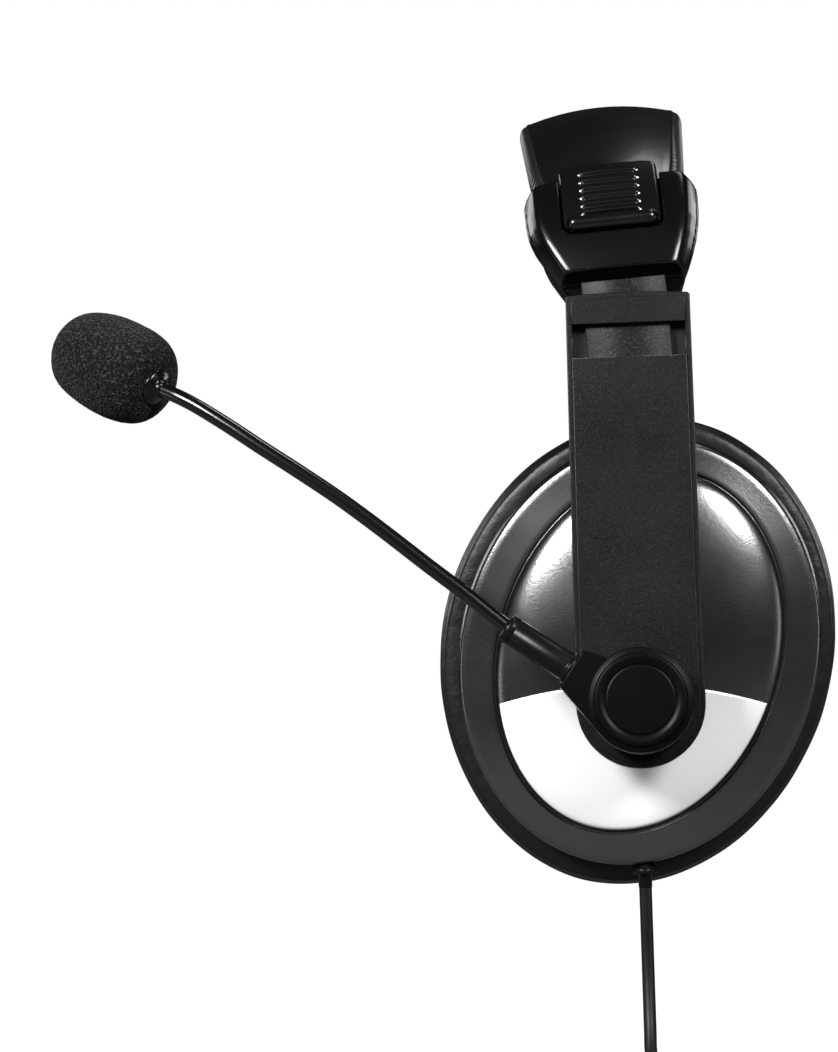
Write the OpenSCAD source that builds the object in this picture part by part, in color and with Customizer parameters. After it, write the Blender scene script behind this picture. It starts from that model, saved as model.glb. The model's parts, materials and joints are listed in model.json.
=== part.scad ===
// Over-ear office headset with a swinging microphone boom. Millimetres, +Z up.
// The wearer faces -X and the wearer's left is -Y. The origin is midway between the two ear
// cushions, at the height of the cups' centres. The left side carries the boom and the cord.

/* [Headband] */
// Height of the outside of the crown above the cups' centres
crown_z = 132.8; // [125:0.1:145]
// Radius of the bend between the crown and each arm, outside
shoulder_r = 50; // [44:1:54]
// Angle from straight up at which the crown's curve becomes the shoulder's
shoulder_a = 33; // [30:1:42]
// Width of the padded band
band_w = 37; // [35:0.5:39]
// How far the band's outside falls from its middle to its edges
band_crown = 3.6; // [2:0.2:5]
// Thickness of the outer cover
cover_t = 2.6; // [2:0.2:3]
// Depth of the inside of the pad below the outside of the band
pad_depth = 13.5; // [11:0.5:15]
// How far the whole band leans forward against the arms, in degrees
band_pitch = 3.5; // [0:0.1:4]

/* [Arms] */
// Lean of each arm towards the head, in degrees
arm_lean = 8; // [6:0.5:9]
// Distance from the middle plane to an arm's outer face at its pivot
pivot_y = 89.9; // [88:0.1:92]
// Height of the pivots
pivot_z = -10.4; // [-12:0.1:-9]
// Length of an arm from its pivot to its top edge
arm_l = 94.4; // [92:0.1:96]
// Width of an arm at its round end
arm_w = 29.4; // [28:0.2:30]
// Thickness of an arm
arm_t = 5; // [5:0.1:5.5]
// Travel of each arm along its strip
slide_travel = 28; // [20:1:30]

/* [Cups] */
// Half the height of the cushion, along its long axis
cushion_a = 56; // [52:0.5:58]
// Half the width of the cushion
cushion_b = 46.7; // [44:0.1:49]
// Thickness of the cushion
cushion_t = 18; // [14:1:20]
// Distance from the middle plane to the back of a cushion
cushion_back = 59; // [58:0.5:60]
// Lean of the cups' long axis towards the back of the head, in degrees
cup_rake = 15.5; // [10:0.5:20]

/* [Microphone] */
// Angle of the microphone above level, as stored, in degrees
mic_up_a = 30; // [25:1:40]
// Distance of the boom's axis from the arm's outer face
boom_off = 9.2; // [9:0.1:10.5]
// Diameter of the boom
boom_d = 3.4; // [3:0.1:4]
// Diameter of the hub that the boom turns on
hub_d = 23.8; // [22:0.2:26]
// Diameter of the foam windshield
foam_d = 24.2; // [22:0.2:28]
// Length of the foam windshield
foam_l = 29.6; // [28:0.1:34]

/* [Cord] */
// Diameter of the cord
cord_d = 3; // [2.5:0.1:3.5]
// Radius of the coil at the middle of its turns
coil_r = 17; // [16:0.5:18]
// Number of turns side by side, and of layers, in the coil
coil_n = 4; // [4:1:4]

/* [Hidden] */

eps = 0.01;
play = 0.2;          // gap between pieces that move past each other
screw_r = 1;         // M2 screws throughout
screw_head_r = 1.9;
screw_head_t = 1;

// Headband curve: each shoulder starts on the arm's outer face and ends where the crown starts.
shoulder_end_a = 90 - arm_lean;
arm_top_y = -pivot_y + arm_l * sin(arm_lean);
arm_top_z = pivot_z + arm_l * cos(arm_lean);
shoulder_y = arm_top_y + shoulder_r * sin(shoulder_end_a) - 0.1;
crown_start_y = shoulder_y - shoulder_r * sin(shoulder_a);
crown_r = -crown_start_y / sin(shoulder_a);
crown_y = 0;
crown_cz = crown_z - crown_r;
shoulder_z = crown_cz + (crown_r - shoulder_r) * cos(shoulder_a);
pitch_z = 72.5;      // the band leans about the windows in the arms
pitch_x = -2;
spring_w = 20;
spring_depth = [3.9, 4.6];
strip_w = 19.6;
strip_spare = 13.8;  // length of strip left below the window with the arm pulled right out
strip_depth = [2.0, 3.2];
cap_a = [46, 78.9];  // where each end cap starts and ends on the shoulder
cap_proud = 2.5;
cap_depth = 8.8;
cap_split = 2.6;     // depth of the parting line between a cap's two shells
tab_a = [39.9, 61];
tab_w = 22.8;
tab_proud = 2.7;
tab_grooves = 6;

// Arms, in their own frame: outer face at y = 0, up along the arm = +Z, pivot at the origin.
arm_top_w = 28.6;
pocket_y = [1.4, 3.8];
pocket_w = 25.8;
pocket_z = 34;
window_z = [79.8, 87.6];
swivel_y = 8.5;
tilt_y = 13.5;
pin_r = 1.25;
block_w = 8;
ear_t = 3;
axle_r = 3;
washer_t = 0.5;

// Cups: distances from the middle plane, outwards.
flange_y = [61, 69];
flange_a = 50.3;
flange_b = 41.6;
dome_a = 42.6;
dome_b = 32.3;
dome_h = 7;
shell_t = 2;
insert_t = 1;
insert_edge = [-4.5, -6.8];
insert_edge_r = 98;
driver_r = 20;
ear_a = 33;
ear_b = 24;

// Boom route in the arm frame: distance from the pivot, angle above level, distance off the arm.
boom_route = [[33.2, 30.4, 9.2], [39, 31.8, 9.2], [47.6, 33.4, 9.2], [57, 34.3, 9.2], [70.5, 35.3, 9.2],
  [82, 35.7, 9.2], [93, 35.7, 9], [104, 35.6, 8.4], [112.5, 35.6, 7.6], [121, 35.5, 6.4], [126.5, 35.3, 5.2],
  [131.3, 35, 3.4]];
mic_in_a = 27;       // the microphone points inwards by this much

// Cord: it leaves the left cup downwards and hangs. Points are x, y, z.
cord_exit = [-0.4, -65, -55];
relief_r = 2.2;
lead_route = [[-0.4, -65, -55], [-0.4, -65, -62], [-0.4, -65, -69], [-0.4, -65, -76],
  [-0.4, -65, -83], [-0.4, -65, -90], [-0.4, -65, -98]];
coil_x = -0.4;
coil_y = -65;
coil_z = -121;
tail_route = [[21.2, -65, -121], [21.2, -65, -129], [21.2, -65, -137], [21.2, -65, -145],
  [21.2, -65, -153]];
plug_len = 24;
shank_r = 1.75;
shank_len = 14;

// ---- helpers ----
module right_side() { mirror([0, 1, 0]) children(); }
module arm_frame() { translate([0, -pivot_y, pivot_z]) rotate([-arm_lean, 0, 0]) children(); }
module band_frame() {
  translate([pitch_x, 0, pitch_z]) rotate([0, -band_pitch, 0]) translate([0, 0, -pitch_z]) children();
}
// A disc-like extrusion along Y from the nearer distance y0 to the farther y1, on the left side
module slab(y0, y1) { translate([0, -y0, 0]) rotate([90, 0, 0]) linear_extrude(y1 - y0) children(); }
function oval(b, a, n = 72) = [for (i = [0:n - 1]) [b * cos(360 * i / n), a * sin(360 * i / n)]];
// An oval leaning with the cups
module cup_oval(b, a) { rotate(-cup_rake) polygon(oval(b, a)); }
module rod(p, q, r0, r1, sides = 48) {
  d = q - p;
  len = norm(d);
  translate(p) rotate([0, acos(d[2] / len), atan2(d[1], d[0])]) cylinder(h = len, r1 = r0, r2 = r1, $fn = sides);
}
// Sweeps a radius-and-width outline round an axis along X, from angle a0 to a1 from straight up
module arch(cy, cz, a0, a1) {
  translate([0, cy, cz]) rotate([0, -90, 180]) rotate([0, 0, a0]) rotate_extrude(angle = a1 - a0, $fn = 180) children();
}
module crown_arch() { arch(crown_y, crown_cz, -shoulder_a, shoulder_a) children(); }
module shoulder_arch(a0, a1) { arch(shoulder_y, shoulder_z, a0, a1) children(); }
// Outline between two depths below a curved outside of radius r
function band_drop(x) = band_crown * pow(2 * x / band_w, 2);
module band_section(r, d0, d1, w, n = 16) {
  xs = [for (i = [0:n]) w * (i / n - 0.5)];
  polygon(concat([for (x = xs) [r - d0 - band_drop(x), x]],
    [for (i = [n:-1:0]) [r - d1 - band_drop(xs[i]) * (d1 > 6 ? 0 : 1), xs[i]]]));
}
module flat_section(r, d0, d1, w) { translate([r - d1, -w / 2]) square([d1 - d0, w]); }

// A point in the arm frame at distance r from the pivot, a above level, and off from the arm's face
function along(r, a, off) = [-r * cos(a), -off, r * sin(a)];
// Catmull-Rom points along a list of points
function smooth(pts, per) = let(n = len(pts)) concat([for (i = [0:n - 2], j = [0:per - 1])
  let(t = j / per, a = pts[max(i - 1, 0)], b = pts[i], c = pts[i + 1], d = pts[min(i + 2, n - 1)])
    0.5 * (2 * b + (c - a) * t + (2 * a - 5 * b + 4 * c - d) * t * t + (3 * b - a - 3 * c + d) * t * t * t)],
  [pts[n - 1]]);
function unit(v) = v / norm(v);
// A round tube swept along points that never turn parallel to the guide direction
module tube(pts, r, guide, sides = 8) {
  n = len(pts);
  rings = [for (i = [0:n - 1]) let(
      t = unit(pts[min(i + 1, n - 1)] - pts[max(i - 1, 0)]),
      u = unit(cross(guide, t)), v = cross(t, u))
    for (s = [0:sides - 1]) pts[i] + r * (cos(360 * s / sides) * u + sin(360 * s / sides) * v)];
  sidefaces = [for (i = [0:n - 2], s = [0:sides - 1]) let(s2 = (s + 1) % sides)
    [i * sides + s, i * sides + s2, (i + 1) * sides + s2, (i + 1) * sides + s]];
  polyhedron(points = rings, convexity = 6, faces = concat([[for (s = [sides - 1:-1:0]) s]],
    [[for (s = [0:sides - 1]) (n - 1) * sides + s]], sidefaces));
}

// ---- headband ----
module band_cover() {
  color([0.09, 0.09, 0.095]) band_frame() {
    crown_arch() band_section(crown_r, 0, cover_t, band_w);
    for (m = [0, 1]) mirror([0, m, 0])
      shoulder_arch(shoulder_a, cap_a[0]) band_section(shoulder_r, 0, cover_t, band_w);
  }
}
module pad_section(r) {
  difference() {
    band_section(r, cover_t + 0.05, pad_depth, band_w - 1);
    flat_section(r, 0, spring_depth[1] + 0.1, spring_w + 0.4);
  }
}
module band_pad() {
  color([0.05, 0.05, 0.052]) band_frame() {
    crown_arch() pad_section(crown_r);
    for (m = [0, 1]) mirror([0, m, 0]) shoulder_arch(shoulder_a, cap_a[0] - 1.5) pad_section(shoulder_r);
  }
}
spring_end = 60;
module band_spring() {
  color([0.6, 0.6, 0.62]) band_frame() {
    crown_arch() flat_section(crown_r, spring_depth[0], spring_depth[1], spring_w);
    for (m = [0, 1]) mirror([0, m, 0]) difference() {
      shoulder_arch(shoulder_a, spring_end) flat_section(shoulder_r, spring_depth[0], spring_depth[1], spring_w);
      shoulder_at(cap_screw_a[0]) cylinder(h = shoulder_r, r = screw_r + 0.1, $fn = 24);
    }
  }
}
// Front outline of an end cap: full width at the top, narrowing to the arm's width
cap_outline = [[19.5, 116], [20, 106], [19.9, 102], [19.5, 98.5], [18.5, 95], [17, 91.5], [15.3, 88], [14.1, 85], [13.9, 80]];
module cap_zone() {
  slab(40, 95) polygon(concat(cap_outline,
    [for (i = [len(cap_outline) - 1:-1:0]) [-cap_outline[i][0], cap_outline[i][1]]]));
}
module cap_slot() {
  shoulder_arch(cap_a[0] - 1, cap_a[1] + 1)
    flat_section(shoulder_r, strip_depth[0] - 0.1, spring_depth[1] + 0.1, spring_w + 0.4);
}
// The lower end of the outer shell is cut back in a slope
module cap_slope() {
  slope_a = 37;
  block = 20;
  translate([0, arm_top_y - cap_proud - 1.4, arm_top_z + 6.4]) rotate([-slope_a, 0, 0])
    translate([-1.5 * block, -block, -block]) cube([3 * block, block, block]);
}
module shoulder_at(k) {
  translate([0, shoulder_y, shoulder_z]) rotate([k, 0, 0]) children();
}
cap_screw_a = [54, 70];
cap_hole_end = shoulder_r + 1.2;
cap_screw_from = shoulder_r - cap_depth + 0.1;
cap_screw_to = shoulder_r - 0.5;
module end_cap_outer() {
  color([0.05, 0.05, 0.055]) band_frame() difference() {
    intersection() {
      shoulder_arch(cap_a[0], cap_a[1]) flat_section(shoulder_r, -cap_proud, cap_split, 60);
      cap_zone();
    }
    cap_slope();
    cap_slot();
    shoulder_arch(cap_a[0] - 1, tab_a[1] + 0.6) flat_section(shoulder_r, -2 * cap_proud, 0.05, tab_w + 0.3);
    for (k = cap_screw_a) shoulder_at(k) cylinder(h = cap_hole_end, r = screw_r, $fn = 24);
  }
}
module end_cap_inner() {
  color([0.05, 0.05, 0.055]) band_frame() difference() {
    intersection() {
      shoulder_arch(cap_a[0], cap_a[1]) flat_section(shoulder_r, cap_split + 0.02, cap_depth, 60);
      cap_zone();
    }
    cap_slot();
    for (k = cap_screw_a) shoulder_at(k) {
      cylinder(h = cap_hole_end, r = screw_r, $fn = 24);
      cylinder(h = shoulder_r - cap_depth + screw_head_t, r = screw_head_r, $fn = 24);
    }
  }
}
module cap_screws() {
  color("silver") for (m = [0, 1]) mirror([0, m, 0]) band_frame() for (k = cap_screw_a) shoulder_at(k) {
    translate([0, 0, cap_screw_from]) cylinder(h = cap_screw_to - cap_screw_from, r = screw_r - eps, $fn = 24);
    translate([0, 0, cap_screw_from]) cylinder(h = screw_head_t - 0.1, r = screw_head_r - eps, $fn = 24);
  }
}
groove_from = 41;    // the first groove's place on the shoulder, and the step between grooves, in degrees
groove_step = 2.9;
groove = [14.8, 0.9, 0.6];
roll_at = 59;
roll_r = 1.6;
module grip_tab() {
  color([0.07, 0.07, 0.075]) band_frame() difference() {
    union() {
      shoulder_arch(tab_a[0], tab_a[1]) flat_section(shoulder_r, -tab_proud, 0, tab_w);
      shoulder_at(roll_at) translate([-tab_w / 2, 0, shoulder_r + tab_proud - 0.7])
        rotate([0, 90, 0]) cylinder(h = tab_w, r = roll_r, $fn = 32);
    }
    for (i = [0:tab_grooves - 1]) shoulder_at(groove_from + groove_step * i)
      translate([-groove[0] / 2, -groove[1] / 2, shoulder_r + tab_proud - groove[2]]) cube([groove[0], groove[1], 2]);
  }
}
strip_low = window_z[0] - slide_travel - strip_spare;
module slider_strip() {
  color([0.55, 0.55, 0.56]) band_frame() difference() {
    union() {
      shoulder_arch(cap_a[0] + 4, shoulder_end_a) flat_section(shoulder_r, strip_depth[0], strip_depth[1], strip_w);
      arm_frame() translate([-strip_w / 2, strip_depth[0] - 0.05, strip_low])
        cube([strip_w, strip_depth[1] - strip_depth[0], arm_l - strip_low]);
    }
    for (k = cap_screw_a) shoulder_at(k) cylinder(h = shoulder_r + 10, r = screw_r + 0.05, $fn = 24);
  }
}

// ---- arms ----
module arm_outline(grow = 0) {
  w0 = arm_w / 2 + grow;
  w1 = arm_top_w / 2 + grow;
  union() {
    circle(r = w0, $fn = 96);
    polygon([[-w0, 0], [w0, 0], [w1, arm_l + grow], [-w1, arm_l + grow]]);
  }
}
// An extrusion across the arm's thickness, from depth y0 to y1 under its outer face
module arm_slab(y0, y1) { translate([0, y1, 0]) rotate([90, 0, 0]) linear_extrude(y1 - y0) children(); }
arm_screw_at = [[-8.5, 22], [8.5, 22]];
module arm_shell(bore) {
  color([0.06, 0.06, 0.062]) arm_frame() difference() {
    arm_slab(0, pocket_y[1]) arm_outline();
    translate([-pocket_w / 2, pocket_y[0], pocket_z]) cube([pocket_w, 10, arm_l]);
    translate([-pocket_w / 2, -1, window_z[0]]) cube([pocket_w, 5, window_z[1] - window_z[0]]);
    translate([0, 20, 0]) rotate([90, 0, 0]) cylinder(h = 40, r = bore, $fn = 48);
    for (p = arm_screw_at) translate([p[0], 1.2, p[1]]) rotate([-90, 0, 0]) cylinder(h = 9, r = screw_r, $fn = 24);
  }
}
module arm_plate() {
  color([0.06, 0.06, 0.062]) arm_frame() difference() {
    union() {
      arm_slab(pocket_y[1], arm_t) arm_outline();
      for (s = [-1, 1]) translate([-3.5, arm_t - eps, s > 0 ? 5.2 : -5.2 - ear_t]) cube([7, 6.2, ear_t]);
    }
    translate([0, swivel_y, -12]) cylinder(h = 24, r = pin_r, $fn = 32);
    translate([0, arm_t - 0.6, 0]) rotate([90, 0, 0]) cylinder(h = 4, r = 6.2, $fn = 48);
    for (p = arm_screw_at) translate([p[0], 0, p[1]]) rotate([-90, 0, 0]) {
      cylinder(h = 9, r = screw_r + 0.05, $fn = 24);
      translate([0, 0, arm_t - 0.8]) cylinder(h = 3, r = screw_head_r, $fn = 24);
    }
  }
}
module arm_screws() {
  color("silver") arm_frame() for (p = arm_screw_at) translate([p[0], 0, p[1]]) rotate([-90, 0, 0]) {
    translate([0, 0, 1.3]) cylinder(h = 3.2, r = screw_r - eps, $fn = 24);
    translate([0, 0, arm_t - 0.78]) cylinder(h = 0.7, r = screw_head_r - eps, $fn = 24);
  }
}
axle_from = 3.9;     // depth of the axle's inner end, inside the arm
axle_to = 9.7;       // height of its outer shoulder above the arm's face
module boom_axle() {
  color("silver") arm_frame() rotate([90, 0, 0]) {
    translate([0, 0, -axle_from]) cylinder(h = axle_from + axle_to, r = axle_r, $fn = 64);
    translate([0, 0, -axle_from - 0.4]) cylinder(h = 0.5, r = 6, $fn = 48);
    translate([0, 0, axle_to]) cylinder(h = 1.2, r = 5, $fn = 48);
  }
}
module friction_washer() {
  color([0.2, 0.2, 0.2]) arm_frame() difference() {
    rotate([90, 0, 0]) cylinder(h = washer_t - 0.05, r = 9, $fn = 64);
    translate([0, 1, 0]) rotate([90, 0, 0]) cylinder(h = 3, r = axle_r + 0.02, $fn = 64);
  }
}
module pivot_cap_right() {
  color([0.05, 0.05, 0.055]) right_side() arm_frame() {
    rotate([90, 0, 0]) cylinder(h = 2.4, r = hub_d / 2, $fn = 96);
    translate([0, -2.4, 0]) rotate([90, 0, 0]) cylinder(h = 0.8, r1 = hub_d / 2, r2 = hub_d / 2 - 1.2, $fn = 96);
    translate([0, 4.2, 0]) rotate([90, 0, 0]) cylinder(h = 4.2, r = axle_r, $fn = 48);
  }
}

// ---- gimbal between arm and cup ----
module pivot_block() {
  color([0.3, 0.3, 0.3]) arm_frame() difference() {
    translate([-block_w / 2, 6, -5]) cube([block_w, 10.2, 10]);
    translate([0, swivel_y, -12]) cylinder(h = 24, r = pin_r + 0.05, $fn = 32);
    translate([-12, tilt_y, 0]) rotate([0, 90, 0]) cylinder(h = 24, r = pin_r, $fn = 32);
  }
}
module swivel_pin() {
  color("silver") arm_frame() translate([0, swivel_y, -8]) cylinder(h = 16, r = pin_r, $fn = 32);
}
module tilt_pin() {
  color("silver") arm_frame() translate([-7.2, tilt_y, 0]) rotate([0, 90, 0]) cylinder(h = 14.4, r = pin_r, $fn = 32);
}

// ---- cups ----
dome_steps = [[0, 1], [0.45, 0.955], [0.78, 0.85], [0.95, 0.68], [1, 0.45]];
module dome(shrink) {
  hull() for (s = dome_steps) translate([0, -flange_y[1] - s[0] * dome_h + shrink + 0.1, 0]) rotate([90, 0, 0])
    linear_extrude(0.1) cup_oval(dome_b * s[1] - shrink, dome_a * s[1] - shrink);
}
// Everything under the arched top edge of the bright insert, grown upwards by gap
module insert_zone(gap) {
  slab(60, 90) intersection() {
    translate([insert_edge[0], insert_edge[1] - insert_edge_r + gap]) circle(r = insert_edge_r, $fn = 180);
    translate([-60, -80]) square([120, 90]);
  }
}
module block_slot() { arm_frame() translate([-block_w / 2 - 0.3, 9, -6.6]) cube([block_w + 0.6, 14, 13.2]); }
module at_cup_screws() {
  rotate([0, cup_rake, 0]) for (k = [45:90:315]) translate([34 * cos(k), 0, 41 * sin(k)]) children();
}
module cup_ears() {
  arm_frame() for (s = [-1, 1]) translate([s > 0 ? block_w / 2 + play : -block_w / 2 - play - ear_t, 11.4, -3.2])
    cube([ear_t, 5.4, 6.4]);
}
module pivot_zone(r) { arm_frame() translate([0, 30, 0]) rotate([90, 0, 0]) cylinder(h = 40, r = r, $fn = 64); }
module insert_recess() {
  difference() {
    intersection() {
      difference() {
        dome(-0.01);
        dome(insert_t);
      }
      insert_zone(0);
      slab(flange_y[1], 90) square([140, 140], center = true);
    }
    pivot_zone(10.4);
  }
}
module cup_shell(with_cord) {
  color([0.05, 0.05, 0.052]) difference() {
    union() {
      difference() {
        union() {
          slab(flange_y[0], flange_y[1]) cup_oval(flange_b, flange_a);
          dome(0);
        }
        slab(flange_y[0] - 1, flange_y[1] - shell_t) cup_oval(flange_b - shell_t, flange_a - shell_t);
        dome(shell_t);
        insert_recess();
      }
      cup_ears();
      at_cup_screws() slab(flange_y[0], flange_y[1] - 1) circle(r = 2.6, $fn = 32);
    }
    block_slot();
    arm_frame() translate([-12, tilt_y, 0]) rotate([0, 90, 0]) cylinder(h = 24, r = pin_r + 0.05, $fn = 32);
    at_cup_screws() slab(flange_y[0] - 1, flange_y[0] + 5.5) circle(r = screw_r, $fn = 24);
    if (with_cord) translate([cord_exit[0], cord_exit[1], -60]) cylinder(h = 13, r = relief_r, $fn = 32);
  }
}
module cup_insert() {
  color([0.86, 0.86, 0.86]) difference() {
    intersection() {
      difference() {
        dome(0);
        dome(insert_t);
      }
      insert_zone(-0.1);
      slab(flange_y[1] + 0.02, 90) square([140, 140], center = true);
    }
    pivot_zone(10.5);
  }
}
module baffle() {
  color([0.1, 0.1, 0.1]) difference() {
    slab(cushion_back + 0.05, flange_y[0] - 0.02) cup_oval(flange_b - 1.6, flange_a - 1.6);
    slab(40, 80) circle(r = driver_r - 2, $fn = 72);
    at_cup_screws() slab(40, 80) circle(r = screw_r + 0.05, $fn = 24);
  }
}
module driver_frame() {
  color([0.15, 0.15, 0.16]) difference() {
    slab(flange_y[0], flange_y[0] + 3.4) circle(r = driver_r, $fn = 72);
    slab(flange_y[0] - 1, flange_y[0] + 2.4) circle(r = driver_r - 2.5, $fn = 72);
    slab(flange_y[0], flange_y[0] + 6) circle(r = 9.05, $fn = 72);
  }
}
module driver_magnet() { color([0.5, 0.5, 0.52]) slab(flange_y[0] + 1.4, flange_y[0] + 6) circle(r = 9, $fn = 72); }
module diaphragm() { color([0.75, 0.75, 0.7]) slab(flange_y[0] + 0.4, flange_y[0] + 0.7) circle(r = driver_r - 2.5, $fn = 72); }
module speaker_cloth() {
  color([0.08, 0.08, 0.08]) slab(cushion_back - 1.2, cushion_back - 0.6) cup_oval(ear_b - 0.5, ear_a - 0.5);
}
module cushion() {
  color([0.03, 0.03, 0.03]) difference() {
    hull() for (s = [[0, 5], [0.14, 1.6], [0.36, 0], [0.7, 0.9], [0.9, 4.2], [1, 8.5]])
      translate([0, -cushion_back + cushion_t * s[0] * 0.99 + 0.1, 0]) rotate([90, 0, 0])
        linear_extrude(0.1) cup_oval(cushion_b - s[1], cushion_a - s[1]);
    slab(20, 80) cup_oval(ear_b, ear_a);
  }
}
module cup_screws() {
  color("silver") at_cup_screws() slab(cushion_back + 0.1, flange_y[0] + 5) circle(r = screw_r - eps, $fn = 24);
}

// ---- cord ----
module cord_relief() {
  color([0.04, 0.04, 0.04]) translate(cord_exit) {
    cylinder(h = 8, r = relief_r - eps, $fn = 32);
    translate([0, 0, 2.2]) cylinder(h = 1, r = relief_r + 0.5, $fn = 32);
  }
}
module cord_lead() { color([0.04, 0.04, 0.04]) tube(lead_route, cord_d / 2, [0, 1, 0]); }
coil_half = coil_n * (cord_d + 0.1) / 2 + 0.15;
module cord_coil() {
  color([0.04, 0.04, 0.04]) translate([coil_x, coil_y, coil_z]) rotate([90, 0, 0])
    rotate_extrude($fn = 64) translate([coil_r - coil_half, -coil_half]) square(2 * coil_half);
}
tie_t = 1.2;
module cord_tie() {
  color([0.06, 0.06, 0.06]) translate([coil_x, coil_y, coil_z + coil_r]) difference() {
    cube([7, 2 * (coil_half + tie_t), 2 * (coil_half + tie_t)], center = true);
    cube([9, 2 * coil_half + 0.04, 2 * coil_half + 0.04], center = true);
  }
}
module cord_tail() { color([0.04, 0.04, 0.04]) tube(tail_route, cord_d / 2, [0, 1, 0]); }
module plug_body() {
  color([0.05, 0.05, 0.05]) translate(tail_route[len(tail_route) - 1]) {
    translate([0, 0, -8]) cylinder(h = 8, r1 = 2.8, r2 = 2.1, $fn = 32);
    translate([0, 0, -plug_len]) cylinder(h = plug_len - 8, r = 3.9, $fn = 48);
  }
}
module plug_shank() {
  color("gold") translate(tail_route[len(tail_route) - 1]) {
    translate([0, 0, -plug_len - shank_len]) cylinder(h = shank_len, r = shank_r, $fn = 48);
    translate([0, 0, -plug_len - shank_len - 1.4]) cylinder(h = 1.4, r1 = 0.7, r2 = shank_r, $fn = 48);
  }
}

// ---- microphone boom ----
neck_a = 34.7;       // direction in which the sleeve leaves the neck
neck_at = [-15.2, 7.5];  // middle of the neck's end face
neck_face = 9.8;
sleeve_l = 17.6;
hub_from = washer_t + 0.05;
hub_half_t = 3.9;    // half the thickness of the neck, round the boom's axis
hub_plate = boom_off + hub_half_t;
hub_top = hub_plate + 0.9;
cap_r = 7.9;
cap_sink = 1.4;
spigot_l = 3.8;      // the sleeve's end that is held in the neck
spigot_r = 2;
// A point on the sleeve's axis at distance t beyond the neck's end face
function neck(t) = [neck_at[0] - t * cos(neck_a), -boom_off, neck_at[1] + t * sin(neck_a)];
module boom_hub() {
  color([0.05, 0.05, 0.055]) arm_frame() difference() {
    union() {
      translate([0, -hub_from, 0]) rotate([90, 0, 0]) cylinder(h = hub_plate - hub_from, r = hub_d / 2, $fn = 96);
      translate([0, -hub_from, 0]) rotate([90, 0, 0]) cylinder(h = hub_top - hub_from, r = hub_d / 2 - 1.5, $fn = 96);
      translate([0, hub_half_t - boom_off, 0]) rotate([90, 0, 0]) linear_extrude(2 * hub_half_t) polygon([
        neck_at - neck_face / 2 * [sin(neck_a), cos(neck_a)], neck_at + neck_face / 2 * [sin(neck_a), cos(neck_a)],
        [-3.9, 8.6], [0, 0], [-9.4, -7.2]]);
    }
    translate([0, 1, 0]) rotate([90, 0, 0]) cylinder(h = 30, r = axle_r + 0.03, $fn = 64);
    translate([0, 0.05 - axle_to, 0]) rotate([90, 0, 0]) cylinder(h = 20, r = 5.4, $fn = 48);
    translate([0, cap_sink - hub_top, 0]) rotate([90, 0, 0]) cylinder(h = 20, r = cap_r, $fn = 72);
    rod(neck(-spigot_l), neck(2), spigot_r + 0.02, spigot_r + 0.02);
  }
}
module hub_cap() {
  color([0.05, 0.05, 0.055]) arm_frame() translate([0, cap_sink - 0.02 - hub_top, 0]) rotate([90, 0, 0])
    cylinder(h = cap_sink - 0.02, r = cap_r - 0.02, $fn = 72);
}
module boom_sleeve() {
  color([0.05, 0.05, 0.05]) arm_frame() difference() {
    union() {
      rod(neck(0.02), neck(sleeve_l), 3.4, 3.2);
      rod(neck(-spigot_l), neck(0.05), spigot_r, spigot_r);
    }
    rod(neck(sleeve_l - 2.4), neck(sleeve_l + 1.2), boom_d / 2 + 0.06, boom_d / 2 + 0.06);
  }
}
module boom_tube() {
  color([0.03, 0.03, 0.03]) arm_frame() tube(
    smooth([for (q = boom_route) along(q[0], q[1], q[2])], 4), boom_d / 2, [0, 1, 0], 12);
}
boom_end = boom_route[len(boom_route) - 1];
mic_from = along(boom_end[0], boom_end[1], boom_end[2]);
mic_dir = [-cos(mic_up_a) * cos(mic_in_a), sin(mic_in_a), sin(mic_up_a) * cos(mic_in_a)];
module mic_frame() {
  arm_frame() translate(mic_from) rotate([0, acos(mic_dir[2]), atan2(mic_dir[1], mic_dir[0])]) children();
}
module mic_holder() {
  color([0.04, 0.04, 0.04]) mic_frame() {
    translate([0, 0, 0.2]) cylinder(h = 2.4, r1 = 2, r2 = 4.2, $fn = 48);
    translate([0, 0, 2.6]) cylinder(h = 1.8, r = 4.2, $fn = 48);
  }
}
module mic_capsule() { color([0.3, 0.3, 0.3]) mic_frame() translate([0, 0, 4.42]) cylinder(h = 9, r = 3.4, $fn = 48); }
module mic_foam() {
  color([0.03, 0.03, 0.03]) mic_frame() translate([0, 0, 1.2]) rotate_extrude($fn = 72) difference() {
    polygon([for (i = [0:24]) let(t = 180 * i / 24)
      [foam_d / 2 * pow(max(sin(t), 0), 0.8), foam_l / 2 * (1 - cos(t))]]);
    translate([-1, -1]) square([4.4, 13.6]);
    translate([-1, -1]) square([5.6, 4.6]);
  }
}

band_cover();
band_pad();
band_spring();
end_cap_outer();  // end_cap_outer_left
right_side() end_cap_outer();  // end_cap_outer_right
end_cap_inner();  // end_cap_inner_left
right_side() end_cap_inner();  // end_cap_inner_right
grip_tab();  // grip_tab_left
right_side() grip_tab();  // grip_tab_right
slider_strip();  // slider_strip_left
right_side() slider_strip();  // slider_strip_right
cap_screws();
arm_shell(axle_r);  // arm_shell_left
right_side() arm_shell(axle_r);  // arm_shell_right
arm_plate();  // arm_plate_left
right_side() arm_plate();  // arm_plate_right
arm_screws();  // arm_screws_left
right_side() arm_screws();  // arm_screws_right
boom_axle();
friction_washer();
pivot_cap_right();
pivot_block();  // pivot_block_left
right_side() pivot_block();  // pivot_block_right
swivel_pin();  // swivel_pin_left
right_side() swivel_pin();  // swivel_pin_right
tilt_pin();  // tilt_pin_left
right_side() tilt_pin();  // tilt_pin_right
cup_shell(true);  // cup_shell_left
right_side() cup_shell(false);  // cup_shell_right
cup_insert();  // cup_insert_left
right_side() cup_insert();  // cup_insert_right
baffle();  // baffle_left
right_side() baffle();  // baffle_right
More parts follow.
